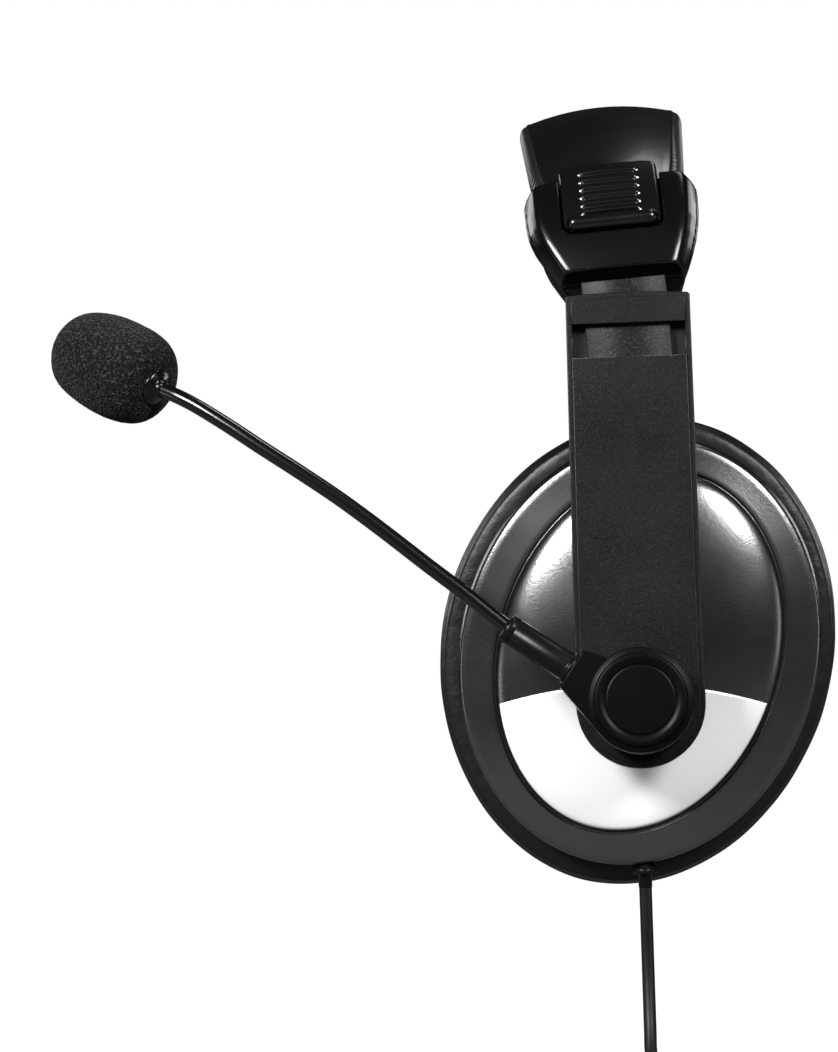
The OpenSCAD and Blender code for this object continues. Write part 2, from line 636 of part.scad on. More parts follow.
driver_frame();  // driver_frame_left
right_side() driver_frame();  // driver_frame_right
driver_magnet();  // driver_magnet_left
right_side() driver_magnet();  // driver_magnet_right
diaphragm();  // diaphragm_left
right_side() diaphragm();  // diaphragm_right
speaker_cloth();  // speaker_cloth_left
right_side() speaker_cloth();  // speaker_cloth_right
cushion();  // cushion_left
right_side() cushion();  // cushion_right
cup_screws();  // cup_screws_left
right_side() cup_screws();  // cup_screws_right
cord_relief();
cord_lead();
cord_coil();
cord_tie();
cord_tail();
plug_body();
plug_shank();
boom_hub();
hub_cap();
boom_sleeve();
boom_tube();
mic_holder();
mic_capsule();
mic_foam();
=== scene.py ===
"""Looks for the office headset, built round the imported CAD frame.

Lengths are in millimetres until a mesh is made. Only the lights are placed in metres.
"""

import json
import math

import bmesh
import bpy
from mathutils import Matrix, Vector, noise


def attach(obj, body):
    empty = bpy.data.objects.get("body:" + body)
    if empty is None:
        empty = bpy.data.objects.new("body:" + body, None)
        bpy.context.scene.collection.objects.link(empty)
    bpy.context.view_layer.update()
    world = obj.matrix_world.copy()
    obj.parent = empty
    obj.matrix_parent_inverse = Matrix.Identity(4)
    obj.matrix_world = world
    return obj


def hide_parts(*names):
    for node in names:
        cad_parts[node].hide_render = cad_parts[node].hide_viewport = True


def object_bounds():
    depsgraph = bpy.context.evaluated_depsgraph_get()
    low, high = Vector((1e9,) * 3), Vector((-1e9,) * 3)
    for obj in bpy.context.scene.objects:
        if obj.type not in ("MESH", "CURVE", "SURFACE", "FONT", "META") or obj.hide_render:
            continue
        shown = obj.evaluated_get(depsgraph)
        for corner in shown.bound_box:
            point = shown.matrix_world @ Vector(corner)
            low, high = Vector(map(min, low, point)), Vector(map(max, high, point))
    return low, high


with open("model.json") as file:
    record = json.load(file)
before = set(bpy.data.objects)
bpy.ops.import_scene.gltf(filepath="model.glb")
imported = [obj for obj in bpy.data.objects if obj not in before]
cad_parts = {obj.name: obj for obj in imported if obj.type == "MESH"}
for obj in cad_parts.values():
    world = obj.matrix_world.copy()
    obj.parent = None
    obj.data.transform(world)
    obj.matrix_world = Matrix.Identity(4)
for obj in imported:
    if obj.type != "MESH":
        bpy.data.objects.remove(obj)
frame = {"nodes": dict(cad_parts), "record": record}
cad_box = [list(corner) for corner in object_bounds()]

MM = 0.001
joints = {j["name"]: j for j in frame["record"]["behaviour"]["joints"]}


# ---------------------------------------------------------------- helpers

def clamp(value, low=0.0, high=1.0):
    return max(low, min(high, value))


def smooth(t):
    t = clamp(t)
    return t * t * (3 - 2 * t)


def lerp(a, b, t):
    return a + (b - a) * t


def spread(a, b, count):
    """count + 1 even steps from a to b."""
    return [lerp(a, b, i / count) for i in range(count + 1)]


def around(count):
    """count angles, evenly round a full turn."""
    return [2 * math.pi * i / count for i in range(count)]


def curve_at(points, x):
    """Straight-line lookup in a short list of (x, y) pairs."""
    if x <= points[0][0]:
        return points[0][1]
    for (x0, y0), (x1, y1) in zip(points, points[1:]):
        if x <= x1:
            return lerp(y0, y1, (x - x0) / (x1 - x0))
    return points[-1][1]


def spline(points, per):
    """Catmull-Rom points through given points."""
    pts = [Vector(p) for p in points]
    out = []
    for i in range(len(pts) - 1):
        a, b = pts[max(i - 1, 0)], pts[i]
        c, d = pts[i + 1], pts[min(i + 2, len(pts) - 1)]
        for j in range(per):
            t = j / per
            out.append(0.5 * (2 * b + (c - a) * t + (2 * a - 5 * b + 4 * c - d) * t * t
                              + (3 * b - a - 3 * c + d) * t ** 3))
    return out + [pts[-1]]


MIRROR = {"left": Matrix.Identity(4), "right": Matrix.Diagonal((1, -1, 1, 1))}
SIDES = ("left", "right")


def link(name, data):
    """A new object in the scene."""
    obj = bpy.data.objects.new(name, data)
    bpy.context.scene.collection.objects.link(obj)
    return obj


def new_piece(name, verts, faces, at=Matrix.Identity(4), side="left"):
    """A mesh object from points in mm, placed by `at` and mirrored for the right side."""
    m = MIRROR[side] @ at
    mesh = bpy.data.meshes.new(name)
    mesh.from_pydata([(m @ Vector(v)) * MM for v in verts], [], faces)
    bm = bmesh.new()
    bm.from_mesh(mesh)
    bmesh.ops.remove_doubles(bm, verts=bm.verts, dist=1e-7)
    bmesh.ops.dissolve_degenerate(bm, edges=bm.edges, dist=1e-7)
    bmesh.ops.recalc_face_normals(bm, faces=bm.faces)
    for face in bm.faces:
        face.smooth = True
    bm.to_mesh(mesh)
    bm.free()
    return link(name, mesh)


def loft(rows, closed=True, capped=True):
    """Points and faces of a skin over equal-length rows; each row is a closed loop unless closed is False."""
    n = len(rows[0])
    verts = [p for row in rows for p in row]
    faces = []
    span = n if closed else n - 1
    for i in range(len(rows) - 1):
        for j in range(span):
            k = (j + 1) % n
            faces.append((i * n + j, i * n + k, (i + 1) * n + k, (i + 1) * n + j))
    if capped and closed:
        faces.append(tuple(range(n)))
        faces.append(tuple((len(rows) - 1) * n + j for j in range(n)))
    return verts, faces


def lathe(profile, count=64):
    """Points and faces of (radius, height) pairs turned about Z. Radii of 0 close the ends."""
    angles = around(count)
    return loft([[(max(r, 1e-4) * math.cos(a), max(r, 1e-4) * math.sin(a), z) for a in angles] for r, z in profile])


def fillet(points, radius, steps=4):
    """Rounds the corners of an open list of 2D points."""
    pts = [Vector((p[0], p[1])) for p in points]
    out = [pts[0]]
    for a, b, c in zip(pts, pts[1:], pts[2:]):
        r = min(radius, (a - b).length * 0.45, (c - b).length * 0.45)
        p, q = b + (a - b).normalized() * r, b + (c - b).normalized() * r
        for i in range(steps + 1):
            t = i / steps
            out.append(p.lerp(b, t).lerp(b.lerp(q, t), t))
    return out + [pts[-1]]


def rounded(half, from_end, corner):
    """Half-width of a slab at a distance from its end, where it has round corners."""
    if from_end < corner:
        half -= corner - math.sqrt(max(corner ** 2 - (corner - from_end) ** 2, 0))
    return half


def tube(points, radius, sides):
    """Points and faces of a round tube along a list of points."""
    pts = [Vector(p) for p in points]
    side_dir = Vector((0, 1, 0))
    rows = []
    for i, p in enumerate(pts):
        t = (pts[min(i + 1, len(pts) - 1)] - pts[max(i - 1, 0)]).normalized()
        u = side_dir.cross(t).normalized()
        v = t.cross(u)
        rows.append([p + u * radius * math.cos(a) + v * radius * math.sin(a) for a in around(sides)])
    return loft(rows)


def plate(name, outlines, y_out, y_in, bevel, at, side="left", steps=3):
    """A bevelled plate whose outlines (the first outside, the rest holes) lie in X and Z, between two depths."""
    curve = bpy.data.curves.new(name, "CURVE")
    curve.dimensions = "2D"
    curve.fill_mode = "BOTH"
    curve.extrude = (y_in - y_out) / 2 - bevel
    curve.bevel_depth = bevel
    curve.bevel_resolution = steps
    curve.offset = -bevel
    for outline in outlines:
        line = curve.splines.new("POLY")
        line.points.add(len(outline) - 1)
        line.use_cyclic_u = True
        for point, (x, z) in zip(line.points, outline):
            point.co = (x, z, 0, 1)
    maker = link(name + "_curve", curve)
    bpy.context.view_layer.update()
    raw = bpy.data.meshes.new_from_object(maker.evaluated_get(bpy.context.evaluated_depsgraph_get()))
    stand = Matrix.Translation((0, (y_out + y_in) / 2, 0)) @ Matrix.Rotation(math.pi / 2, 4, "X")
    verts = [stand @ v.co for v in raw.vertices]
    faces = [tuple(p.vertices) for p in raw.polygons]
    bpy.data.objects.remove(maker)
    bpy.data.curves.remove(curve)
    bpy.data.meshes.remove(raw)
    obj = new_piece(name, verts, faces, at, side)
    obj.modifiers.new("weighted", "WEIGHTED_NORMAL").weight = 100
    return obj


def join(name, *objs):
    """One object from several, with their modifiers applied."""
    graph = bpy.context.evaluated_depsgraph_get()
    bm = bmesh.new()
    for obj in objs:
        mesh = bpy.data.meshes.new_from_object(obj.evaluated_get(graph))
        bm.from_mesh(mesh)
        bpy.data.meshes.remove(mesh)
        bpy.data.objects.remove(obj)
    mesh = bpy.data.meshes.new(name)
    bm.to_mesh(mesh)
    bm.free()
    return link(name, mesh)


def bake(obj):
    """Swaps the mesh of obj for the one that its modifiers make of it."""
    mesh = bpy.data.meshes.new_from_object(obj.evaluated_get(bpy.context.evaluated_depsgraph_get()))
    obj.modifiers.clear()
    old = obj.data
    obj.data = mesh
    bpy.data.meshes.remove(old)
    return obj


def settle(obj, body, look, replaces=()):
    """Gives a piece its material and body, and hides the CAD nodes that it stands for."""
    obj.data.materials.clear()
    obj.data.materials.append(materials[look])
    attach(obj, body)
    if replaces:
        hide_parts(*replaces)
    return obj


# ---------------------------------------------------------------- camera and light

CAMERA_AT = Vector((1, -888.9, 50))
AIM = Vector((-49, -89.9, 31.5))
CAMERA_ROLL = math.radians(2)
FOCAL = 120.5


def make_camera():
    data = bpy.data.cameras.new("camera")
    data.lens = FOCAL
    data.sensor_width = 36
    data.clip_start = 0.05
    data.clip_end = 20
    camera = link("camera", data)
    look = (AIM - CAMERA_AT).normalized()
    up = Vector((math.sin(CAMERA_ROLL), 0, math.cos(CAMERA_ROLL)))
    right = look.cross(up).normalized()
    up = right.cross(look)
    turn = Matrix((right, up, -look)).transposed().to_4x4()
    camera.matrix_world = Matrix.Translation(CAMERA_AT * MM) @ turn
    bpy.context.scene.camera = camera


def area_light(name, place, aim, size, power):
    data = bpy.data.lights.new(name, "AREA")
    data.shape = "RECTANGLE"
    data.size, data.size_y = size
    data.energy = power
    light = link(name, data)
    light.location = place
    light.rotation_euler = (Vector(aim) - Vector(place)).to_track_quat("-Z", "Y").to_euler()


def add_node(nodes, kind, **values):
    """A shader node with some of its sockets set; an underscore stands for a space in a socket's name."""
    node = nodes.new("ShaderNode" + kind)
    for socket, value in values.items():
        node.inputs[socket.replace("_", " ")].default_value = value
    return node


def make_studio():
    """A world that the camera sees as white but that lights almost nothing, and the lamps."""
    world = bpy.data.worlds.new("studio")
    world.use_nodes = True
    nodes, links = world.node_tree.nodes, world.node_tree.links
    nodes.clear()
    out = add_node(nodes, "OutputWorld")
    mix = add_node(nodes, "MixShader")
    path = add_node(nodes, "LightPath")
    seen = add_node(nodes, "Background", Color=(1, 1, 1, 1), Strength=1.0)
    lit = add_node(nodes, "Background", Color=(1, 1, 1, 1), Strength=0.012)
    links.new(path.outputs["Is Camera Ray"], mix.inputs["Fac"])
    links.new(lit.outputs["Background"], mix.inputs[1])
    links.new(seen.outputs["Background"], mix.inputs[2])
    links.new(mix.outputs["Shader"], out.inputs["Surface"])
    bpy.context.scene.world = world
    bpy.context.scene.view_settings.view_transform = "Standard"
    area_light("upper_left", (-0.55, -0.8, 0.55), (-0.02, -0.08, 0.02), (0.3, 0.3), 34)
    area_light("upper_right", (0.42, -0.62, 0.42), (0.02, -0.08, 0.02), (0.22, 0.26), 12)
    area_light("overhead", (0.25, 0.14, 1.0), (0, 0, 0.1), (0.4, 0.1), 2.4)
    area_light("side_left", (-0.9, -0.35, -0.15), (0, -0.08, 0.03), (0.2, 0.5), 1.2)
    area_light("side_right", (0.9, -0.35, -0.1), (0, -0.08, 0.03), (0.2, 0.5), 1.2)
    area_light("behind_left", (-0.95, 0.8, 0.35), (0, 0, 0), (0.5, 0.5), 4)
    area_light("behind_right", (0.95, 0.8, 0.35), (0, 0, 0), (0.5, 0.5), 4)
    area_light("low_front", (0.05, -0.8, -0.6), (0, -0.08, -0.03), (0.5, 0.2), 0.8)


FLOOR_HALF, FLOOR_GAP = 4000, 25


def make_floor():
    """Paper under the part, white to the camera and dark to every other ray, so that it throws little light up."""
    steps = spread(-FLOOR_HALF, FLOOR_HALF, 8)
    floor = new_piece("floor", *loft([[(x, y, 0) for x in steps] for y in steps], closed=False),
                      Matrix.Translation((0, 0, cad_box[0][2] / MM - FLOOR_GAP)))
    mat = bpy.data.materials.new("floor_paper")
    mat.use_nodes = True
    nodes, links = mat.node_tree.nodes, mat.node_tree.links
    shader = nodes["Principled BSDF"]
    shader.inputs["Base Color"].default_value = (0.12, 0.12, 0.12, 1)
    shader.inputs["Roughness"].default_value = 0.9
    shader.inputs["Emission Color"].default_value = (1, 1, 1, 1)
    links.new(nodes.new("ShaderNodeLightPath").outputs["Is Camera Ray"], shader.inputs["Emission Strength"])
    floor.data.materials.append(mat)


# ---------------------------------------------------------------- materials


def surface(name, colour, roughness, grain=0.0, depth=0.0, kind="noise", patchy=0.06, spec=0.5,
            metallic=0.0, sheen=0.0, tone=0.25, second=None, painted_sheen_specks=None):
    """A moulded, painted or woven surface with uneven gloss and tone.

    grain is the texture's scale and depth its height in mm; second is a (scale, height) pair for a broader
    relief, and the specks pair, (scale, grey), paints light specks into the colour: painted sheen in place of light
    caught by the grain and pores.
    """
    mat = bpy.data.materials.new(name)
    mat.use_nodes = True
    nodes, links = mat.node_tree.nodes, mat.node_tree.links
    shader = nodes["Principled BSDF"]
    for socket, value in (("Metallic", metallic), ("Specular IOR Level", spec), ("Sheen Weight", sheen),
                          ("Sheen Roughness", 0.4)):
        shader.inputs[socket].default_value = value
    where = add_node(nodes, "TexCoord")

    def texture(kind, **values):
        tex = add_node(nodes, kind, **values)
        links.new(where.outputs["Object"], tex.inputs["Vector"])
        return tex

    def blend(factor, a, b):
        mix = nodes.new("ShaderNodeMix")
        mix.data_type = "RGBA"
        links.new(factor, mix.inputs["Factor"])
        mix.inputs["B"].default_value = b
        if isinstance(a, tuple):
            mix.inputs["A"].default_value = a
        else:
            links.new(a, mix.inputs["A"])
        return mix.outputs["Result"]

    def bumped(height, distance):
        bump = add_node(nodes, "Bump", Distance=distance * MM)
        links.new(height, bump.inputs["Height"])
        return bump

    broad = texture("TexNoise", Scale=55, Detail=5).outputs["Fac"]
    ramp = add_node(nodes, "MapRange", To_Min=max(roughness - patchy, 0.02), To_Max=min(roughness + patchy, 1.0))
    links.new(broad, ramp.inputs["Value"])
    links.new(ramp.outputs["Result"], shader.inputs["Roughness"])

    shade = blend(broad, (*[c * (1 - tone) for c in colour], 1), (*[min(c * (1 + tone), 1) for c in colour], 1))
    # Painted sheen: light specks mixed into the base colour stand in for light caught by the grain and pores.
    if painted_sheen_specks:
        scale, grey = painted_sheen_specks
        sheen_speck_mask = add_node(nodes, "MapRange", From_Min=0.5, From_Max=0.72)
        links.new(texture("TexNoise", Scale=scale, Detail=2).outputs["Fac"], sheen_speck_mask.inputs["Value"])
        shade = blend(sheen_speck_mask.outputs["Result"], shade, (grey, grey, grey, 1))
    links.new(shade, shader.inputs["Base Color"])

    if grain:
        if kind == "noise":
            height = texture("TexNoise", Scale=grain, Detail=3).outputs["Fac"]
        else:
            cells = texture("TexVoronoi", Scale=grain)
            cells.feature = "DISTANCE_TO_EDGE" if kind == "leather" else "F1"
            height = cells.outputs["Distance"]
        bump = bumped(height, depth)
        if second:
            wrinkle = texture("TexNoise", Scale=second[0], Detail=4)
            links.new(bumped(wrinkle.outputs["Fac"], second[1]).outputs["Normal"], bump.inputs["Normal"])
        links.new(bump.outputs["Normal"], shader.inputs["Normal"])
    return mat


def make_materials():
    m = {}
    m["shell"] = surface("shell_black", (0.0012, 0.0012, 0.0013), 0.25, grain=2300, depth=0.03, spec=1.0)
    # The arm's light specks are painted sheen, in place of highlights caught by its spark-eroded grain.
    m["arm"] = surface("arm_black", (0.0012, 0.0012, 0.0013), 0.33, grain=2500, depth=0.06, spec=0.16,
                       painted_sheen_specks=(2300, 0.006))
    m["hub"] = surface("hub_black", (0.001, 0.001, 0.001), 0.34, grain=3200, depth=0.01, spec=0.04)
    m["gloss"] = surface("gloss_black", (0.001, 0.001, 0.001), 0.22, grain=400, depth=0.004, patchy=0.03, spec=0.2)
    m["boom"] = surface("boom_black", (0.001, 0.001, 0.001), 0.2, patchy=0.02, spec=0.35)
    m["tab"] = surface("tab_black", (0.001, 0.001, 0.001), 0.24, grain=2800, depth=0.006, spec=0.3)
    m["rubber"] = surface("rubber_black", (0.002, 0.002, 0.002), 0.3, grain=2200, depth=0.012, spec=0.08)
    m["cord"] = surface("cord_black", (0.002, 0.002, 0.002), 0.36, grain=1800, depth=0.01, spec=0.25)
    # The strip's light specks are painted sheen on its grain.
    m["strip"] = surface("strip_grey", (0.004, 0.004, 0.0041), 0.36, grain=2500, depth=0.04, spec=0.05,
                         painted_sheen_specks=(2300, 0.016))
    m["silver"] = surface("insert_silver", (0.6, 0.6, 0.605), 0.26, grain=300, depth=0.002, metallic=0.3,
                          patchy=0.02, tone=0.02)
    m["cushion"] = surface("cushion_leatherette", (0.0015, 0.0015, 0.0016), 0.42, grain=1500, depth=0.04,
                           kind="leather", second=(180, 0.35), spec=0.2)
    m["cover"] = surface("band_leatherette", (0.001, 0.001, 0.0011), 0.3, grain=1700, depth=0.012,
                         kind="leather", second=(120, 0.12), spec=0.4)
    m["pad"] = surface("ribbed_pad", (0.002, 0.002, 0.002), 0.36, grain=1500, depth=0.015, kind="leather", spec=0.6)
    # The foam's light specks are painted sheen, standing in for light caught in its pores.
    m["foam"] = surface("foam_black", (0.0012, 0.0012, 0.0012), 0.9, grain=1500, depth=0.5, kind="cells",
                        sheen=0.02, tone=0.5, second=(900, 0.5), spec=0.08, painted_sheen_specks=(1500, 0.02))
    m["cloth"] = surface("cloth_black", (0.004, 0.004, 0.004), 0.85, grain=1800, depth=0.2, kind="cells",
                         sheen=0.1, spec=0.2)
    m["inner"] = surface("inner_plastic", (0.004, 0.004, 0.0042), 0.5, grain=2200, depth=0.02, spec=0.15)
    m["steel"] = surface("steel", (0.55, 0.55, 0.57), 0.3, grain=900, depth=0.004, metallic=1.0, tone=0.08)
    m["gold"] = surface("plug_metal", (0.9, 0.66, 0.3), 0.22, grain=700, depth=0.003, metallic=1.0, tone=0.05)
    m["film"] = surface("film", (0.6, 0.6, 0.56), 0.25, grain=300, depth=0.01, tone=0.05)
    return m


make_camera()
make_studio()
materials = make_materials()

# ---------------------------------------------------------------- driving places

X_AXIS = Vector((1, 0, 0))
PIVOT = Vector(joints["boom_swing"]["pos_m"]) / MM
INWARD = -Vector(joints["boom_swing"]["axis"]).normalized()
ALONG_ARM = X_AXIS.cross(INWARD)
LEAN = math.asin(ALONG_ARM.y)
ARM = Matrix.Translation(PIVOT) @ Matrix((X_AXIS, INWARD, ALONG_ARM)).transposed().to_4x4()
FACING_OUT = Matrix.Rotation(math.pi / 2, 4, "X")    # turns +Z to -Y, out of the wearer's left side

ARM_L, ARM_W, ARM_TOP_W, ARM_T = 94.4, 29.4, 28.6, 5.0
WINDOW = (79.8, 87.6)
POCKET_W, POCKET_FROM = 25.8, 34.0
STRIP_W = 19.6
STRIP_DEPTHS = (2.0, 3.2)
ARM_TRAVEL, STRIP_SPARE = 28, 13.8    # how far the arm slides, and what is left in it below the window then
HUB_R = 11.9

BAND_W = 37.0
CROWN_Z = 132.8
SHOULDER_R = 50.0
SHOULDER_A = 33.0
COVER_W, COVER_T = 33.0, 2.6
PAD_DEPTH = 13.5
BAND_CROWN = 3.6
PITCH = math.radians(-3.5)
PITCH_AT = (-2, 0, 72.5)
BAND = (Matrix.Translation(PITCH_AT) @ Matrix.Rotation(PITCH, 4, "Y")
        @ Matrix.Translation(tuple(-c for c in PITCH_AT)))

arm_top = PIVOT + ALONG_ARM * ARM_L
SHOULDER_Y = arm_top.y + SHOULDER_R * math.cos(LEAN) - 0.1
crown_start = SHOULDER_Y - SHOULDER_R * math.sin(math.radians(SHOULDER_A))
CROWN_R = -crown_start / math.sin(math.radians(SHOULDER_A))
CROWN_CZ = CROWN_Z - CROWN_R
SHOULDER_Z = CROWN_CZ + (CROWN_R - SHOULDER_R) * math.cos(math.radians(SHOULDER_A))

CAP_A = (46.0, 78.9)
TAB_A = (40.5, 62.9)
TAB_W = 22.8


def along_band(angle):
    """Share of the way from the crown (0) to an end cap (1)."""
    return clamp(abs(angle) / CAP_A[0])


def on_band(x, angle, depth):
    """A point of the band at an angle from straight up (left is positive) and a depth below its outside."""
    a = math.radians(abs(angle))
    x -= 1.2 * smooth((CAP_A[1] - abs(angle)) / 20) + 0.9 * (1 - along_band(angle) ** 2)
    cy, cz, r = (0.0, CROWN_CZ, CROWN_R) if abs(angle) <= SHOULDER_A else (SHOULDER_Y, SHOULDER_Z, SHOULDER_R)
    y = cy - (r - depth) * math.sin(a)
    return Vector((x, y if angle >= 0 else -y, cz + (r - depth) * math.cos(a)))


# ---------------------------------------------------------------- cord

CORD_D, CORD_LENGTH = 3.0, 1.8    # mm and m
CORD_EXIT = (-0.4, -65, -55)
LEAD = [(-0.4, -65, -55), (-0.4, -65, -62), (-0.4, -65, -69), (-0.4, -65.7, -76), (-0.4, -67.1, -83),
        (-0.4, -68.7, -89), (-0.4, -69.5, -93.1), (0.2, -69.65, -96.6), (2.1, -69.65, -99)]
COIL = (-0.4, -65, -121)
COIL_R, COIL_PITCH, COIL_N = 17.0, 3.1, 4
TAIL = [(21.2, -61.2, -126), (21.2, -62.6, -132), (21.2, -64.2, -138), (21.2, -65, -145), (21.2, -65, -153)]
TURN_STEPS = 24


def coil_points():
    """Side-by-side columns of turns, wound in and out by turns, with a step to the next turn near the top."""
    places = []
    for column in range(COIL_N):
        layers = range(COIL_N) if column % 2 else reversed(range(COIL_N))
        places += [(column, layer) for layer in layers]
    places.append(places[-1])
    half = (COIL_N - 1) / 2
    out = []
    last = COIL_N * COIL_N * TURN_STEPS + TURN_STEPS // 4
    for step in range(1, last + 1):
        turn, part = divmod(step, TURN_STEPS)
        here, there = places[turn], places[min(turn + 1, len(places) - 1)]
        move = smooth((part / TURN_STEPS - 0.8) / 0.2)    # the step is in the last fifth of a turn
        column, layer = (lerp(a, b, move) for a, b in zip(here, there))
        r = COIL_R + (layer - half) * COIL_PITCH
        a = 2 * math.pi * step / TURN_STEPS
        out.append((COIL[0] + r * math.sin(a), COIL[1] + (column - half) * COIL_PITCH, COIL[2] + r * math.cos(a)))
    return out


def make_cord(plug, shank, tie, relief):
    points = spline(LEAD, 4) + [Vector(p) for p in coil_points()] + spline(TAIL, 4)
    curve = bpy.data.curves.new("cord", "CURVE")
    curve.dimensions = "3D"
    curve.bevel_depth = CORD_D / 2 * MM
    curve.bevel_resolution = 4
    curve.use_fill_caps = True
    line = curve.splines.new("POLY")
    line.points.add(len(points) - 1)
    for point, place in zip(line.points, points):
        point.co = (*(place * MM), 1)
    line.use_smooth = True
    cord = link("cord", curve)
    settle(cord, "cup_left", "cord", ("cord_lead", "cord_coil", "cord_tail"))


def make_plug():
    """The moulded body, with a ribbed collar where the cord goes in, and the gold shank with its black rings."""
    x, y, z = TAIL[-1]
    at = Matrix.Translation((x, y, z))
    collar = [(0, 0.4), (2.0, 0.4)]
    for k in range(4):
        top = 0.1 - 1.9 * k
        collar += [(2.15 + 0.14 * k, top), (2.3 + 0.14 * k, top - 0.2), (2.3 + 0.14 * k, top - 1.0),
                   (2.0 + 0.12 * k, top - 1.2), (2.0 + 0.12 * k, top - 1.7)]
    body = collar + [(3.0, -7.9), (3.7, -8.3), (3.9, -8.8), (3.9, -12), (3.72, -12.3), (3.72, -18.3), (3.9, -18.6),
                     (3.9, -22.9), (3.7, -23.7), (3.2, -24), (0, -24)]
    plug = new_piece("cord_plug", *lathe(body, 48), at)
    settle(plug, "cup_left", "rubber", ("plug_body",))
    r = 1.75
    sunk = r - 0.12
    metal = [(0, -23.9), (2.6, -23.9), (2.6, -24.5), (r, -24.6), (r, -28.4), (sunk, -28.5), (sunk, -29.1),
             (r, -29.2), (r, -31.4), (sunk, -31.5), (sunk, -32.1), (r, -32.2), (r, -34.5), (sunk, -34.6),
             (sunk, -35.1), (r - 0.3, -35.2), (r, -35.9), (r, -36.6), (1.05, -37.4), (1.1, -37.9),
             (0.9, -38.9), (0.45, -39.3), (0, -39.4)]
    shank = new_piece("plug_contacts", *lathe(metal, 40), at)
    settle(shank, "cup_left", "gold", ("plug_shank",))
    rings = []
    for top in (-28.5, -31.5, -34.6):
        ring = [(r - 0.3, top), (r - 0.03, top), (r - 0.03, top - 0.6), (r - 0.3, top - 0.6)]
        rings.append(new_piece("ring", *lathe(ring, 32), at))
    bands = join("plug_rings", *rings)
    settle(bands, "cup_left", "rubber")
    bands.parent = shank
    return plug, shank


def make_tie():
    """A strap wrapped round the top of the coil, with a buckle where it closes."""
    half = COIL_N * COIL_PITCH / 2 + 0.15
    width, thick = 7.0, 0.9
    squareness = 5
    centre = Vector((COIL[0], COIL[1], COIL[2] + COIL_R))
    rows = []
    for a in around(64):
        c, s = math.cos(a), math.sin(a)
        reach = (abs(c) ** squareness + abs(s) ** squareness) ** (-1 / squareness)
        row = []
        for x, out in ((-1, 0), (-1, 0.7), (-0.85, 1), (0.85, 1), (1, 0.7), (1, 0)):
            r = reach * (half + 0.1) + out * thick
            row.append(centre + Vector((x * width / 2, r * c, r * s)))
        rows.append(row)
    rows.append(rows[0])
    verts, faces = loft(rows, capped=False)
    strap = new_piece("strap", verts, faces)
    block = [(-2.2, -3.9), (2.2, -3.9), (2.2, 3.9), (-2.2, 3.9)]
    buckle = plate("buckle", [fillet(block + block[:1], 0.8)[1:]], -1.0, 1.0, 0.35,
                   Matrix.Translation(centre + Vector((0, -half - 1.2, 0))))
    tie = join("cord_tie_strap", strap, buckle)
    return settle(tie, "cup_left", "rubber", ("cord_tie",))


def make_relief():
    """The grommet that the cord leaves the cup through: a small flange and a short plain sleeve."""
    profile = [(0, 8), (2.15, 8), (2.15, 4.4), (2.75, 4.2), (2.9, 3.8), (2.9, 3.3), (2.7, 2.9), (1.9, 2.7),
               (1.62, 2.4), (1.62, -0.2), (1.55, -0.4), (0, -0.4)]
    relief = new_piece("cord_grommet", *lathe(profile, 48), Matrix.Translation(CORD_EXIT))
    return settle(relief, "cup_left", "rubber", ("cord_relief",))


make_cord(*make_plug(), make_tie(), make_relief())


# ---------------------------------------------------------------- headband

def band_drop(x):
    """How much deeper than its middle the crowned cover lies at x."""
    return BAND_CROWN * (2 * x / BAND_W) ** 2


def band_angles(step_mm, end):
    """Angles from the left end to the right end of the band, evenly spaced along its outside."""
    crown = CROWN_R * math.radians(SHOULDER_A)
    total = crown + SHOULDER_R * math.radians(end - SHOULDER_A)
    count = round(2 * total / step_mm)
    angles = []
    for s in spread(-total, total, count):
        over = max(abs(s) - crown, 0)
        a = math.degrees(min(abs(s), crown) / CROWN_R + over / SHOULDER_R)
        angles.append(math.copysign(a, s))
    return angles


COVER_TAPER, PAD_TAPER = (1.14, 0.87), (1.045, 0.875)    # widths at the crown and at the caps


def lie(x, angle, depth, wide, narrow):
    """A point of the band's skins, which are wide at the crown and narrow at the caps."""
    return on_band(x * lerp(wide, narrow, along_band(angle) ** 1.6), angle, depth)


def make_cover():
    """The smooth outer skin: crowned, with its edges rolled under."""
    half, roll = COVER_W / 2, 1.4
    top = [(x, band_drop(x)) for x in spread(-half + roll, half - roll, 26)]
    edge = []
    for a in spread(0, math.pi, 8)[1:-1]:
        edge.append((half - roll + roll * math.sin(a), band_drop(half) - 0.55 + roll - roll * math.cos(a)))
    under = [(x, COVER_T + band_drop(x)) for x in spread(half - 2, -half + 2, 14)]
    section = top + edge + under + [(-x, d) for x, d in reversed(edge)]
    rows = [[lie(x, a, d, *COVER_TAPER) for x, d in section] for a in band_angles(2.2, CAP_A[0] + 0.4)]
    settle(new_piece("band_cover_skin", *loft(rows), BAND), "headband", "cover", ("band_cover",))


RIB_PITCH = 1.85


